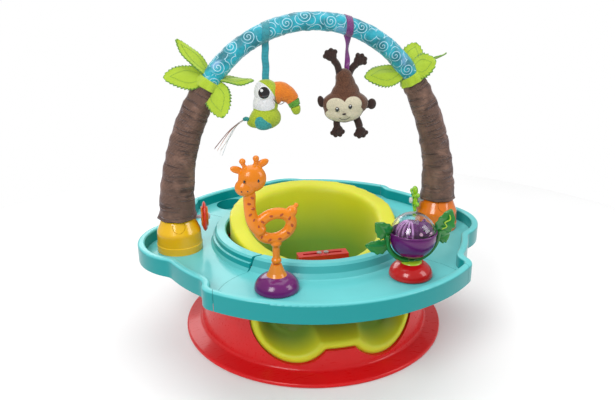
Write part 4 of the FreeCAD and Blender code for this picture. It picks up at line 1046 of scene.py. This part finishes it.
@dataclass
class Strap:
    """A ribbon looped over the sleeve, with both ends hanging to a toy."""

    name: str
    body: str
    slot: str
    node: str
    x: float
    end_z: float
    width: float = 10.6
    bar: ToyBar = field(default_factory=ToyBar)
    twist: float = 0.0

    def build(self) -> bpy.types.Object:
        """Makes the ribbon and returns it."""
        lean = math.asin(self.x / self.bar.crown_radius)
        top = self.bar.crown_z + self.bar.crown_radius * math.cos(lean)
        loop = self.bar.sleeve_radius + 1.3
        points = [(0.9, self.end_z), (0.8, self.end_z + (top - loop - self.end_z) * 0.5),
                  (1.2, top - loop - 3)]
        for number in range(13):
            turn = math.radians(-70 + 320 / 12 * number)
            points.append((loop * math.cos(turn), top + loop * math.sin(turn)))
        points += [(-1.2, top - loop - 3), (-0.8, self.end_z + (top - loop - self.end_z) * 0.5),
                   (-0.9, self.end_z)]
        line = through([(self.x, y, z) for y, z in points])
        span = sum((line(i / 200) - line((i + 1) / 200)).length for i in range(200)) / MM
        tilt = math.sin(lean)

        def surface(u: float, v: float) -> Vector:
            """Returns a point of the ribbon."""
            middle = line(v)
            drop = max(0.0, (top - loop) * MM - middle.z) / MM
            turn = self.twist * math.sin(drop * 0.09)
            narrow = 1 - 0.25 * min(1.0, drop / 25) * (self.twist > 0)
            across = (u - 0.5) * self.width * narrow * MM
            high = (middle.z - (top - loop) * MM) > 0
            sway = Vector((across * math.cos(turn), across * math.sin(turn),
                           -across * tilt * (1 if high else 0)))
            return middle + sway + Vector((math.sin(drop * 0.22) * 0.5 * MM, 0, 0))

        form = patch(6, 150, surface, self.width, span, closed=False)
        bmesh.ops.recalc_face_normals(form, faces=form.faces)
        made = Piece(self.name, self.body, self.slot, forms=[form]).build([self.node], thick=0.9)
        return made


@dataclass
class Toucan:
    """The plush bird on the left: head patch, big eye, curved beak, belly patch and ribbon tail."""

    x: float = -73.0

    def build(self) -> None:
        """Makes the bird's pieces."""
        Strap("teal_strap", "toucan", "ribbon_teal", "toucan_strap", self.x, 404.0, 10.4).build()
        skin = fuse([
            egg(at(-73, 0, 388.5), (18.8, 15.0, 19)), egg(at(-74.5, 0, 369), (19.5, 14.5, 21)),
            egg(at(-74.5, 0, 349), (24, 15.5, 18.5)), egg(at(-86, 0, 346), (15, 12, 13)),
            rod([(-84, 0, 342), (-95, 0, 341), (-103, 0, 344.5)], (10, 7, 3.6), end=0.12),
        ], 1.2, 7)
        ruffle(skin, 0.7, 90)

        def face(co: Vector) -> float:
            """Returns how much of the light patch is at a point."""
            x, z = co.x / MM, co.z / MM
            low = 361.5 + 0.012 * (x + 78) ** 2
            high = 405.5 - 0.0005 * (x + 98) ** 3
            side = -60.5 - 0.006 * (z - 384) ** 2
            return min(max(0.0, min(1.0, 0.5 + gap * 0.5)) for gap in (z - low, high - z, side - x))

        mark(skin, "mask", face)
        bird = Piece("bird_plush", "toucan", "toucan_lime", forms=[skin]).build(["toucan_body"])
        beak = rod([(-62, 0, 385), (-50, 0, 387), (-38, 0, 381), (-31, 0, 372.5)], (17.6, 15.4, 12.4, 9.9),
                   end=0.05,
                   flat=0.72)
        band = rod([(-32.4, 0, 374.5), (-28.5, 0, 364)], (10.2, 8.6), rows=10, flat=0.74, end=0.08)
        tip = rod([(-29, 0, 365.5), (-27.2, 0, 358), (-27.4, 0, 350.8)], (8.4, 7.2, 4.4), rows=16, flat=0.76,
                  end=0.25)
        ruffle(beak, 0.6, 110, 3)
        orange = Piece("bird_beak", "toucan", "toucan_beak", forms=[beak]).build(["toucan_beak"])
        green = Piece("bird_beak_band", "toucan", "toucan_teal", "toucan_green", [band]).build()
        lime = Piece("bird_beak_tip", "toucan", "toucan_lime", forms=[tip]).build()
        smile = [rod([(-64, -y * 12.2, 379), (-60, -y * 12.4, 373), (-53, -y * 11.6, 370.5),
                      (-47, -y * 10.8, 373)],
                     (0.6, 0.6, 0.6), rows=24, columns=8) for y in (-1, 1)]
        Piece("bird_smile", "toucan", "toucan_beak", "thread_dark", smile).build()
        self.eyes()
        self.belly()
        self.tail()

    def eyes(self) -> None:
        """Makes the round eyes on both sides of the head, each with a small white dot as a painted highlight.
        """
        parts: dict[str, list] = {"bead_white": [], "bead_black": [], "painted_glint": []}
        for sign in (-1, 1):
            parts["bead_white"].append(egg(at(-78, sign * 13.4, 388.5), (10.2, 2.0, 10.2)))
            parts["bead_black"].append(egg(at(-78.4, sign * 14.2, 388.8), (8.8, 2.0, 9.0)))
            # Painted highlight: a small white dot on each eye.
            parts["painted_glint"].append(egg(at(-82, sign * 15.9, 392.5), (2.2, 0.7, 2.2), None, 16))
        Piece("bird_eye_rings", "toucan", "toucan_lime", "bead_white", parts["bead_white"]).build()
        Piece("bird_eyes", "toucan", "toucan_teal", "bead_black", parts["bead_black"]).build()
        Piece("bird_eye_painted_glints", "toucan", "toucan_lime", "bead_white", parts["painted_glint"]).build()

    def belly(self) -> None:
        """Makes the teal arched patch low on each side."""
        forms = []
        for sign in (-1, 1):
            forms.append(egg(at(-80, sign * 11.0, 343.5), (13.2, 4.6, 12.0)))
            forms.append(egg(at(-79, sign * 9.0, 338), (13.0, 4.8, 7.0)))
        patches = fuse(forms, 1.0, 3)
        made = Piece("bird_belly_patches", "toucan", "toucan_teal", forms=[patches]).build(["toucan_wing"])

    def tail(self) -> None:
        """Makes the tail's tab and its thin ribbons."""
        tab = rod([(-100.5, 0, 346.5), (-105, 0, 348), (-110, 0, 346.5)], (3.2, 3.4, 2.4), flat=1.3, end=0.2)
        Piece("bird_tail_tab", "toucan", "toucan_teal", forms=[tab]).build(["toucan_tail"])
        strands = (("ribbon_red", -154.5, 304.5, 0.0), ("ribbon_orange", -150, 301, 1.5),
                   ("ribbon_white", -147, 297, -1.5),
                   ("ribbon_teal", -143, 293.5, 0.8), ("ribbon_white", -145, 300, 3.0))
        for number, (finish, end_x, end_z, depth) in enumerate(strands):
            line = through([(-108, depth * 0.4, 346.5), (-118, depth, 341 - number * 0.5),
                            (-133 + number * 1.2, depth * 1.4, 329 - number * 1.6),
                            (end_x, depth * 1.8, end_z)])

            def surface(u: float, v: float, line: Line = line, number: int = number) -> Vector:
                """Returns a point of one ribbon."""
                turn = 0.5 + 0.8 * math.sin(v * 3 + number)
                across = (u - 0.5) * 2.6 * (1 + 0.2 * v)
                return line(v) + at(0.45 * across * math.cos(turn), across * math.sin(turn),
                                    0.9 * across * math.cos(turn))

            form = patch(4, 40, surface, 2.6, 62, closed=False)
            bmesh.ops.recalc_face_normals(form, faces=form.faces)
            Piece(f"bird_tail_ribbon_{number}", "toucan", "ribbon_teal", finish, [form]).build(thick=0.4)


@dataclass
class Monkey:
    """The plush monkey on the right, hanging by its body with its limbs spread."""

    x: float = 53.0

    def build(self) -> None:
        """Makes the monkey's pieces."""
        Strap("purple_strap", "monkey", "ribbon_purple", "monkey_strap", self.x, 412.0, 10.4,
              twist=0.9).build()
        skin = fuse([
            egg(at(48.6, 0, 405), (13.4, 11.8, 15)), egg(at(50.4, 0, 393), (16, 13, 22)),
            egg(at(51.6, 0, 380), (23, 15.5, 21)), egg(at(51.4, 0, 365), (37.5, 19, 22)),
            egg(at(49, 0, 353), (31, 17.5, 17.5)),
        ], 1.2, 14)
        ruffle(skin, 0.9, 80, 5)

        def face(co: Vector) -> float:
            """Returns how much of the heart-shaped face is at a point."""
            x, z = (co.x / MM - 47.0) / 1.04, (co.z / MM - 358.4) / 0.93
            x, z = x * 0.99 + z * 0.12, z - x * 0.08
            lobes = min(math.hypot((x + 12.5) / 13.5, (z - 8) / 12.5),
                        math.hypot((x - 12.5) / 13.5, (z - 8) / 12.5))
            muzzle = math.hypot(x / 27.5, (z + 6) / 15.0)
            inside = 1 - min(lobes, muzzle)
            return max(0.0, min(1.0, 0.5 + inside * 5)) if co.y < 0 else 0.0

        mark(skin, "mask", face)
        layer = skin.verts.layers.float["mask"]
        skin.normal_update()
        for vert in skin.verts:
            vert.co += vert.normal * 1.1 * MM * vert[layer]
        made = Piece("monkey_plush", "monkey", "monkey_brown",
                     forms=[skin]).build(["monkey_body", "monkey_head"])
        self.features()
        self.limbs()
        self.ears()

    def features(self) -> None:
        """Makes the eyes with small white dots as painted highlights, the nose and the stitched smile."""
        eyes = [egg(at(x, y, z), (3.1, 1.9, 3.7), None, 20) for x, y,
                z in ((33.5, -18.4, 359.8), (53.9, -19.4, 363.4))]
        # Painted highlight: a small white dot on each eye.
        painted_glints = [egg(at(x, y, z), (1.1, 0.5, 1.1), None, 12) for x, y,
                  z in ((32.7, -20.1, 361.6), (53.1, -21.1, 365.2))]
        nose = egg(at(44.2, -20.2, 352.6), (3.4, 1.5, 1.6), turned("Y", -5), 16)
        smile = rod([(36.6, -18.7, 346.4), (40, -18.9, 344.6), (45, -19.0, 343.8), (50, -18.8, 344.8),
                     (54, -18.4, 347.2)],
                    (0.5, 0.5, 0.5), rows=40, columns=8)
        Piece("monkey_eyes", "monkey", "monkey_dark", "bead_black", eyes).build()
        Piece("monkey_eye_painted_glints", "monkey", "monkey_brown", "bead_white", painted_glints).build()
        Piece("monkey_nose_and_smile", "monkey", "monkey_dark", "thread_dark", [nose, smile]).build()

    def limbs(self) -> None:
        """Makes the four limbs with scalloped paws."""
        plans = (((42, 1, 408), (38, 0, 424), (30, -1, 433), (27.5, -1, 438.5), 5.7, 115),
                 ((55, 1, 407), (62, 1, 420), (69, 0, 426), (72.5, 0, 430.5), 5.7, 40),
                 ((38, -2, 346), (37, -3, 336), (37.5, -4, 328), (38, -4, 324), 5.5, -85),
                 ((66, -1, 347), (72, -2, 336), (75, -3, 326), (76.5, -3, 320), 6.2, -80))
        forms = []
        for start, middle, wrist, end, radius, heading in plans:
            parts = [rod([start, middle, wrist], (radius * 1.05, radius * 0.95, radius), flat=0.85)]
            parts.append(egg(at(*end), (9.0, 4.8, 8.0)))
            for number in range(4):
                turn = math.radians(heading - 66 + 44 * number)
                parts.append(egg(at(end[0] + 9.4 * math.cos(turn), end[1], end[2] + 8.2 * math.sin(turn)),
                                 (3.9, 3.6, 3.9), None, 14))
            forms.append(fuse(parts, 1.0, 3))
        for form in forms:
            ruffle(form, 0.6, 120)
        made = Piece("monkey_arms_and_legs", "monkey", "monkey_dark", forms=forms).build(["monkey_limbs"])

    def ears(self) -> None:
        """Makes the two round ears."""
        forms = [fuse([egg(at(12.5, 1, 369.5), (5.6, 4.0, 9.5), turned("Y", -14)),
                       egg(at(17, 1, 366), (5, 4, 5))], 1.0, 3),
                 fuse([egg(at(94.5, 0, 362.8), (7.6, 4.5, 8.8)), egg(at(86, 0, 361), (6, 4, 5))], 1.0, 3)]
        made = Piece("monkey_ears_plush", "monkey", "monkey_dark", forms=forms).build(["monkey_ears"])


# ---- tray toys ----------------------------------------------------------------------------


@dataclass
class Giraffe:
    """The giraffe teether: beaded stem, ring body with spots, leaning neck and horned head."""

    x: float = -91.0
    y: float = -174.6
    ring_z: float = 242.0

    def build(self) -> None:
        """Makes the figure and its spots and eyes."""
        x, y, ring = self.x, self.y, self.ring_z
        lean = math.radians(16)

        def hoop_line(share: float) -> Vector:
            """Returns a point of the ring body's leaning oval centre line."""
            wide, high = 22.5 * math.cos(TAU * share), 17.2 * math.sin(TAU * share)
            return at(x - 1 + wide * math.cos(lean) - high * math.sin(lean), y,
                      ring - 3 + wide * math.sin(lean) + high * math.cos(lean))

        band = tube(lambda v: hoop_line(v % 1.0), Vector((0, 1, 0)), lambda u, v: 7.8, 20, 72, 48, 126, 0.85)
        forms = [
            band, rod([(x, y, 184), (x, y, 222)], (5, 5), Vector((0, 1, 0)), end=0.06),
            egg(at(x, y, 189), (7.2, 7.2, 5.4)), egg(at(x, y, 214), (7.8, 7.8, 5.6)),
            egg(at(x + 22, y, ring + 16), (7.5, 6.5, 8)), egg(at(x + 28, y, ring + 24), (3.4, 3.2, 3.6)),
            rod([(x - 17, y, ring - 13), (x - 29, y, ring + 3), (x - 33.5, y, ring + 24),
                 (x - 33, y, ring + 50)],
                (9.5, 8.8, 8.0, 8.4)),
            egg(at(x - 29, y, ring + 65), (18.5, 14.5, 18)),
            egg(at(x - 38.5, y - 1.5, ring + 54), (14, 12, 12)),
        ]
        for foot, knob in (((-37, 79), (-41, 88)), ((-25, 81), (-23.5, 91))):
            forms.append(rod([(x + foot[0], y, ring + foot[1]), (x + knob[0], y, ring + knob[1] - 3)],
                             (3.0, 2.7)))
            forms.append(egg(at(x + knob[0], y, ring + knob[1]), (4.4, 4.4, 4.2), None, 16))
        for shift, high, tilt in ((-48.5, 77, 18), (-15, 84, -26)):
            forms.append(egg(at(x + shift, y + 2, ring + high), (9.0, 3.4, 5.0), turned("Y", tilt)))
        skin = fuse(forms, 1.0, 4)
        Piece("giraffe_teether", "giraffe", "giraffe_orange", forms=[skin]).build(["giraffe_figure"])
        spots = []
        for angle in range(20, 350, 36):
            spot = hoop_line(angle / 360)
            for sign in (-1, 1):
                spots.append(egg(spot + at(0, sign * 6.1, 0), (1.9, 0.9, 3.0), turned("Y", angle), 14))
        for dx, dz in ((-24, 0), (-30, 10), (-34, 18), (-30, 26), (-35, 33), (-31, 41)):
            for sign in (-1, 1):
                spots.append(egg(at(x + dx, y + sign * 7.6, ring + dz), (1.8, 1.1, 2.8), turned("Y", dz * 3),
                                 14))
        Piece("giraffe_spots", "giraffe", "giraffe_orange", "giraffe_spot", spots).build()
        eyes = [egg(at(x - 32 + 9 * s, y - 13.2, ring + 65), (1.5, 1.2, 2.2), None, 16) for s in (-1, 1)]
        nostrils = [egg(at(x - 41 + 4 * s, y - 13.0, ring + 52), (0.9, 0.7, 1.1), None, 12) for s in (-1, 1)]
        Piece("giraffe_eyes", "giraffe", "giraffe_orange", "bead_black", eyes + nostrils).build()


@dataclass
class BeetRattle:
    """The beet rattle: leafy cradle and a ball with a clear top and a face inside."""

    x: float = 104.0
    y: float = -174.6
    z: float = 208.0

    def leaf(self, root: tuple[float, float], heading: float, length: float, half: float,
             curl: float) -> bmesh.types.BMesh:
        """Makes a thick glossy leaf in the cradle's plane.

        Args:
            root: Where it starts, as X and Z from the ball's centre.
            heading: Its direction in degrees from +X towards +Z.
            length: Its length in millimetres.
            half: Its half width in millimetres.
            curl: How far its edges come forward.

        Returns:
            The leaf.
        """
        frame = Matrix.Translation(at(self.x + root[0], self.y, self.z + root[1])) @ turned("Y", -heading)

        def surface(u: float, v: float) -> Vector:
            """Returns a point of the leaf's closed skin."""
            turn = TAU * u
            swell = math.sin(math.pi * min(1, v ** 0.85)) ** 0.7
            wide = half * swell * (1 + 0.07 * math.sin(v * 26)) if 0 < v < 1 else 0
            thick = 2.6 * min(1.0, wide / 3)
            across = math.cos(turn) * wide
            z = across
            y = math.sin(turn) * thick - curl * (abs(across) / half) ** 2 * 5
            y += 1.2 * math.exp(-(across / 1.2) ** 2)
            return frame @ at(length * v, y - 4 * math.sin(math.pi * v), z)

        return patch(32, 40, surface, 4 * half, length)

    def build(self) -> None:
        """Makes the cradle, leaves, collar, inner face and stripes."""
        x, y, z = self.x, self.y, self.z
        arms = []
        for sign in (-1, 1):
            points = [(x + sign * 38.4 * math.cos(math.radians(a)), y, z + 38.4 * math.sin(math.radians(a)))
                      for a in (-84, -66, -45, -22, 0, 8)]
            arms.append(rod(points, (3.9, 3.7, 3.7, 3.8, 4.2, 4.6), flat=1.6, end=0.04))
        stem = fuse(arms + [rod([(x, y, 156.5), (x, y, 172)], (6.2, 6.2), Vector((0, 1, 0)), end=0.1)], 1.0,
                    2)
        leaves = [self.leaf((-35, 3), 136, 29, 12.5, 0.8), self.leaf((-34, -12), 176, 36, 11, 0.6),
                  self.leaf((35, 0), 57, 41, 14.5, 0.8), self.leaf((35, -6), 12, 22, 10, 0.5)]
        Piece("beet_leafy_cradle", "beet_fork", "beet_green", forms=[stem, *leaves]).build(["beet_stem"])
        collar = lathe([(0, 163.4), (13.4, 163.4), (15.2, 164.6), (15.6, 166.4), (15.0, 168.4), (13.2, 169.6),
                        (0, 169.8)],
                       at(x, y, 0))
        Piece("beet_lime_collar", "beet_fork", "beet_green", "beet_lime", [collar]).build()
        squiggle = rod([(x + 40, y - 7.4, z + 8), (x + 47, y - 8.4, z + 12), (x + 44, y - 8.2, z + 18),
                        (x + 52, y - 7.6, z + 22), (x + 51, y - 6.4, z + 29)], (0.9, 0.9, 0.9), rows=40,
                       columns=8)
        Piece("beet_leaf_squiggle", "beet_fork", "beet_green", "beet_lime", [squiggle]).build()
        head = (x + 11.0, y - 11.0, z + 11.0)
        inner = fuse([egg(at(*head), (12.8, 11.8, 12.4)), egg(at(x - 4, y, z + 3), (19.5, 19.5, 20)),
                      egg(at(head[0] - 7, head[1] + 4, head[2] + 9.5), (3.2, 2.4, 4.6), turned("Y", -20)),
                      egg(at(head[0] + 2, head[1] + 5, head[2] + 10.5), (3.0, 2.4, 4.2), turned("Y", 15))],
                     0.9, 3)
        Piece("beet_friend", "beet_ball", "beet_purple", forms=[inner]).build(["beet_face"])
        eyes, cheeks, stripes = [], [], []
        for sign in (-1, 1):
            eyes.append(egg(at(head[0] + sign * 3.4, head[1] - 11.0, head[2] + 3.2), (1.1, 1.0, 1.9), None,
                            16))
            cheeks.append(egg(at(head[0] + sign * 6.6, head[1] - 9.4, head[2] - 2.6), (2.9, 1.4, 2.9), None,
                              20))
        grin = rod([(head[0] - 2.4, head[1] - 11.6, head[2] - 0.6), (head[0], head[1] - 11.7, head[2] - 2.0),
                    (head[0] + 2.4, head[1] - 11.6, head[2] - 0.4)], (0.4, 0.4), rows=12, columns=8)
        Piece("beet_eyes", "beet_ball", "beet_purple", "bead_black", eyes + [grin]).build()
        Piece("beet_cheeks", "beet_ball", "beet_purple", "cheek_pink", cheeks).build()
        for number in range(6):
            turn = math.radians(150 + 22 * number)
            points = [(x - 4 + r * math.cos(turn), y + r * math.sin(turn), z + 3 + h)
                      for r, h in ((19.4, -3), (18.6, 5), (15.0, 12), (9, 17.4), (3, 19.6))]
            stripes.append(rod(points, (0.9, 1.7, 1.6, 1.2, 0.7),
                               Vector((-math.sin(turn), math.cos(turn), 0.1)), 8, 16))
        Piece("beet_inner_stripes", "beet_ball", "beet_purple", "beet_stripe", stripes).build()
        rim = tube(lambda v: at(x + 33.3 * math.cos(TAU * v), y + 33.3 * math.sin(TAU * v), z + 6),
                   Vector((0, 0, 1)),
                   lambda u, v: 1.3, 10, 72, 8, 210)
        Piece("beet_bowl_rim", "beet_ball", "beet_purple", forms=[rim]).build()


@dataclass
class SuctionCups:
    """The two rounded suction cups that hold the tray toys."""

    low: float = 146.2
    profile: tuple = ((0, 0), (30.6, 0), (31.4, 1.2), (31.5, 4), (30.6, 8.5), (28.2, 13), (24, 17.4),
                      (18.6, 20.4),
                      (13.5, 21.8), (0, 22.0))

    def build(self) -> None:
        """Makes both cups in place of the plain ones."""
        for name, node, body, slot, x in (("purple_cup", "giraffe_base", "tray", "suction_purple", Giraffe.x),
                                          ("red_cup", "beet_base", "tray", "suction_red", BeetRattle.x)):
            cup = lathe([(r, self.low + h) for r, h in self.profile], at(x, BeetRattle.y, 0), steps=72)
            Piece(name, body, slot, forms=[cup]).build([node], smooth_levels=1)


@dataclass
class Spinners:
    """The red oval spinner and the green lizard spinner."""

    reach: float = 175.9
    z: float = 196.0

    def build(self) -> None:
        """Makes both spinners on their pins."""
        oval = fuse([egg(at(-self.reach, 0, self.z), (4.6, 17.5, 24.5)),
                     egg(at(-self.reach, 0, self.z - 12), (4.5, 13, 12)),
                     lathe([(0, -3), (5.5, -3), (5.5, 3), (0, 3)], at(-self.reach, 0, self.z),
                           turned("Y", 90))],
                    1.0, 2)
        Piece("oval_spinner", "left_spinner", "spinner_red", forms=[oval]).build(["spinner_left"])
        rings = [tube(lambda v: at(-self.reach + s * 4.2, 11 * math.cos(TAU * v),
                                   self.z + 15 * math.sin(TAU * v)),
                      Vector((1, 0, 0)), lambda u, v: 1.2, 8, 48, 7, 80) for s in (-1, 1)]
        Piece("oval_spinner_rings", "left_spinner", "spinner_red", "palm_orange", rings).build()
        x = self.reach
        parts = [egg(at(x, 0, self.z), (4.4, 9.5, 15)), egg(at(x, 0, self.z + 17), (4.6, 8, 8)),
                 rod([(x, 0, self.z - 10), (x, -4, self.z - 17), (x, 2, self.z - 20)], (3.6, 2.8, 1.6),
                     Vector((1, 0, 0)))]
        for sy in (-1, 1):
            for dz in (8, -8):
                parts.append(rod([(x, sy * 6, self.z + dz), (x, sy * 12, self.z + dz + 3)], (3.2, 2.8),
                                 Vector((1, 0, 0))))
                parts.append(egg(at(x, sy * 14, self.z + dz + 4.5), (3.2, 4.2, 4.2), None, 16))
        Piece("lizard_spinner", "right_spinner", "spinner_green",
              forms=[fuse(parts, 1.0, 3)]).build(["spinner_right"])
        dots = [egg(at(x + s * 3.9, dy, self.z + dz), (0.9, 2.0, 2.0), None, 12)
                for s in (-1, 1) for dy, dz in ((-4, 6), (4, 9), (-4, -7), (3.5, -5), (0, 17))]
        Piece("lizard_spots", "right_spinner", "spinner_green", "beet_green", dots).build()


# ---- the studio ---------------------------------------------------------------------------


@dataclass
class Studio:
    """Camera, pale floor and soft lights."""

    camera_at: tuple[float, float, float] = (-0.2154, -0.9473, 0.5459)
    look_at: tuple[float, float, float] = (0.0, 0.0, 0.200)
    lens: float = 36.94
    shift: tuple[float, float] = (-0.0094, 0.0088)
    lamps: tuple = (
        ("softbox_left", (-1.0, -1.15, 1.25), (0, 0, 0.18), (0.7, 0.9), 16.5),
        ("softbox_right", (1.25, -0.75, 1.0), (0, 0, 0.18), (0.6, 0.9), 7.0),
        ("softbox_top", (0.1, 0.3, 1.7), (0, 0, 0.1), (1.6, 1.6), 12.5),
        ("softbox_back", (-0.5, 1.5, 1.1), (0, 0, 0.3), (1.2, 0.8), 9.0),
    )

    def build(self) -> None:
        """Makes the studio."""
        scene = bpy.context.scene
        scene.view_settings.view_transform = "Standard"
        lens = bpy.data.cameras.new("camera")
        lens.lens, lens.sensor_width = self.lens, 36.0
        lens.shift_x, lens.shift_y = self.shift
        camera = bpy.data.objects.new("camera", lens)
        scene.collection.objects.link(camera)
        self.aim(camera, self.camera_at, self.look_at)
        scene.camera = camera
        for name, place, target, size, power in self.lamps:
            lamp = bpy.data.lights.new(name, "AREA")
            lamp.shape, lamp.size, lamp.size_y, lamp.energy = "RECTANGLE", size[0], size[1], power
            holder = bpy.data.objects.new(name, lamp)
            scene.collection.objects.link(holder)
            self.aim(holder, place, target)
        world = bpy.data.worlds.new("studio")
        world.use_nodes = True
        world.node_tree.nodes["Background"].inputs["Color"].default_value = (1, 1, 1, 1)
        tree = world.node_tree
        seen = tree.nodes.new("ShaderNodeLightPath").outputs["Is Camera Ray"]
        level = tree.nodes.new("ShaderNodeMapRange")
        level.inputs["To Min"].default_value, level.inputs["To Max"].default_value = 0.45, 1.0
        tree.links.new(seen, level.inputs["Value"])
        tree.links.new(level.outputs["Result"], tree.nodes["Background"].inputs["Strength"])
        scene.world = world
        self.floor()

    @staticmethod
    def aim(thing: bpy.types.Object, place: Sequence[float], target: Sequence[float]) -> None:
        """Puts a camera or lamp in place and points it at a target."""
        start = Vector(place)
        facing = (Vector(target) - start).to_track_quat("-Z", "Y").to_matrix().to_4x4()
        thing.matrix_world = Matrix.Translation(start) @ facing

    def floor(self) -> None:
        """Makes the pale floor."""
        form = bmesh.new()
        bmesh.ops.create_circle(form, cap_ends=True, segments=96, radius=0.95)
        mesh = bpy.data.meshes.new("floor")
        form.to_mesh(mesh)
        form.free()
        book = NodeBook("floor_paper")
        tone = book.mix(book.cloud(3, 2), paint((247, 247, 247)), paint((252, 252, 252)))
        mesh.materials.append(book.finish(Base_Color=tone, Roughness=0.9,
                                          Normal=book.relief(book.cloud(900, 2), 0.0001, 0.2)))
        ground = bpy.data.objects.new("floor", mesh)
        bpy.context.scene.collection.objects.link(ground)


# ---- all together -------------------------------------------------------------------------


def dress_frame(frame: dict) -> None:
    """Gives every CAD node the finish of its slot."""
    for row in frame["record"]["subparts"]:
        node = frame["nodes"].get(row["node"])
        if node is None:
            continue
        node.data.materials.clear()
        node.data.materials.append(WARDROBE.get(row["material_slot"]))
        LOG.info("%s dressed as %s", row["node"], row["material_slot"])


def main() -> None:
    """Builds the seat's looks in order."""
    logging.basicConfig(level=logging.INFO, format="%(name)s: %(message)s")
    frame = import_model()
    Studio().build()
    dress_frame(frame)
    SeatInsert().build(frame["nodes"]["seat_insert"])
    ToyBar().build()
    Toucan().build()
    Monkey().build()
    Giraffe().build()
    BeetRattle().build()
    SuctionCups().build()
    Spinners().build()


if __name__ == "__main__":
    main()
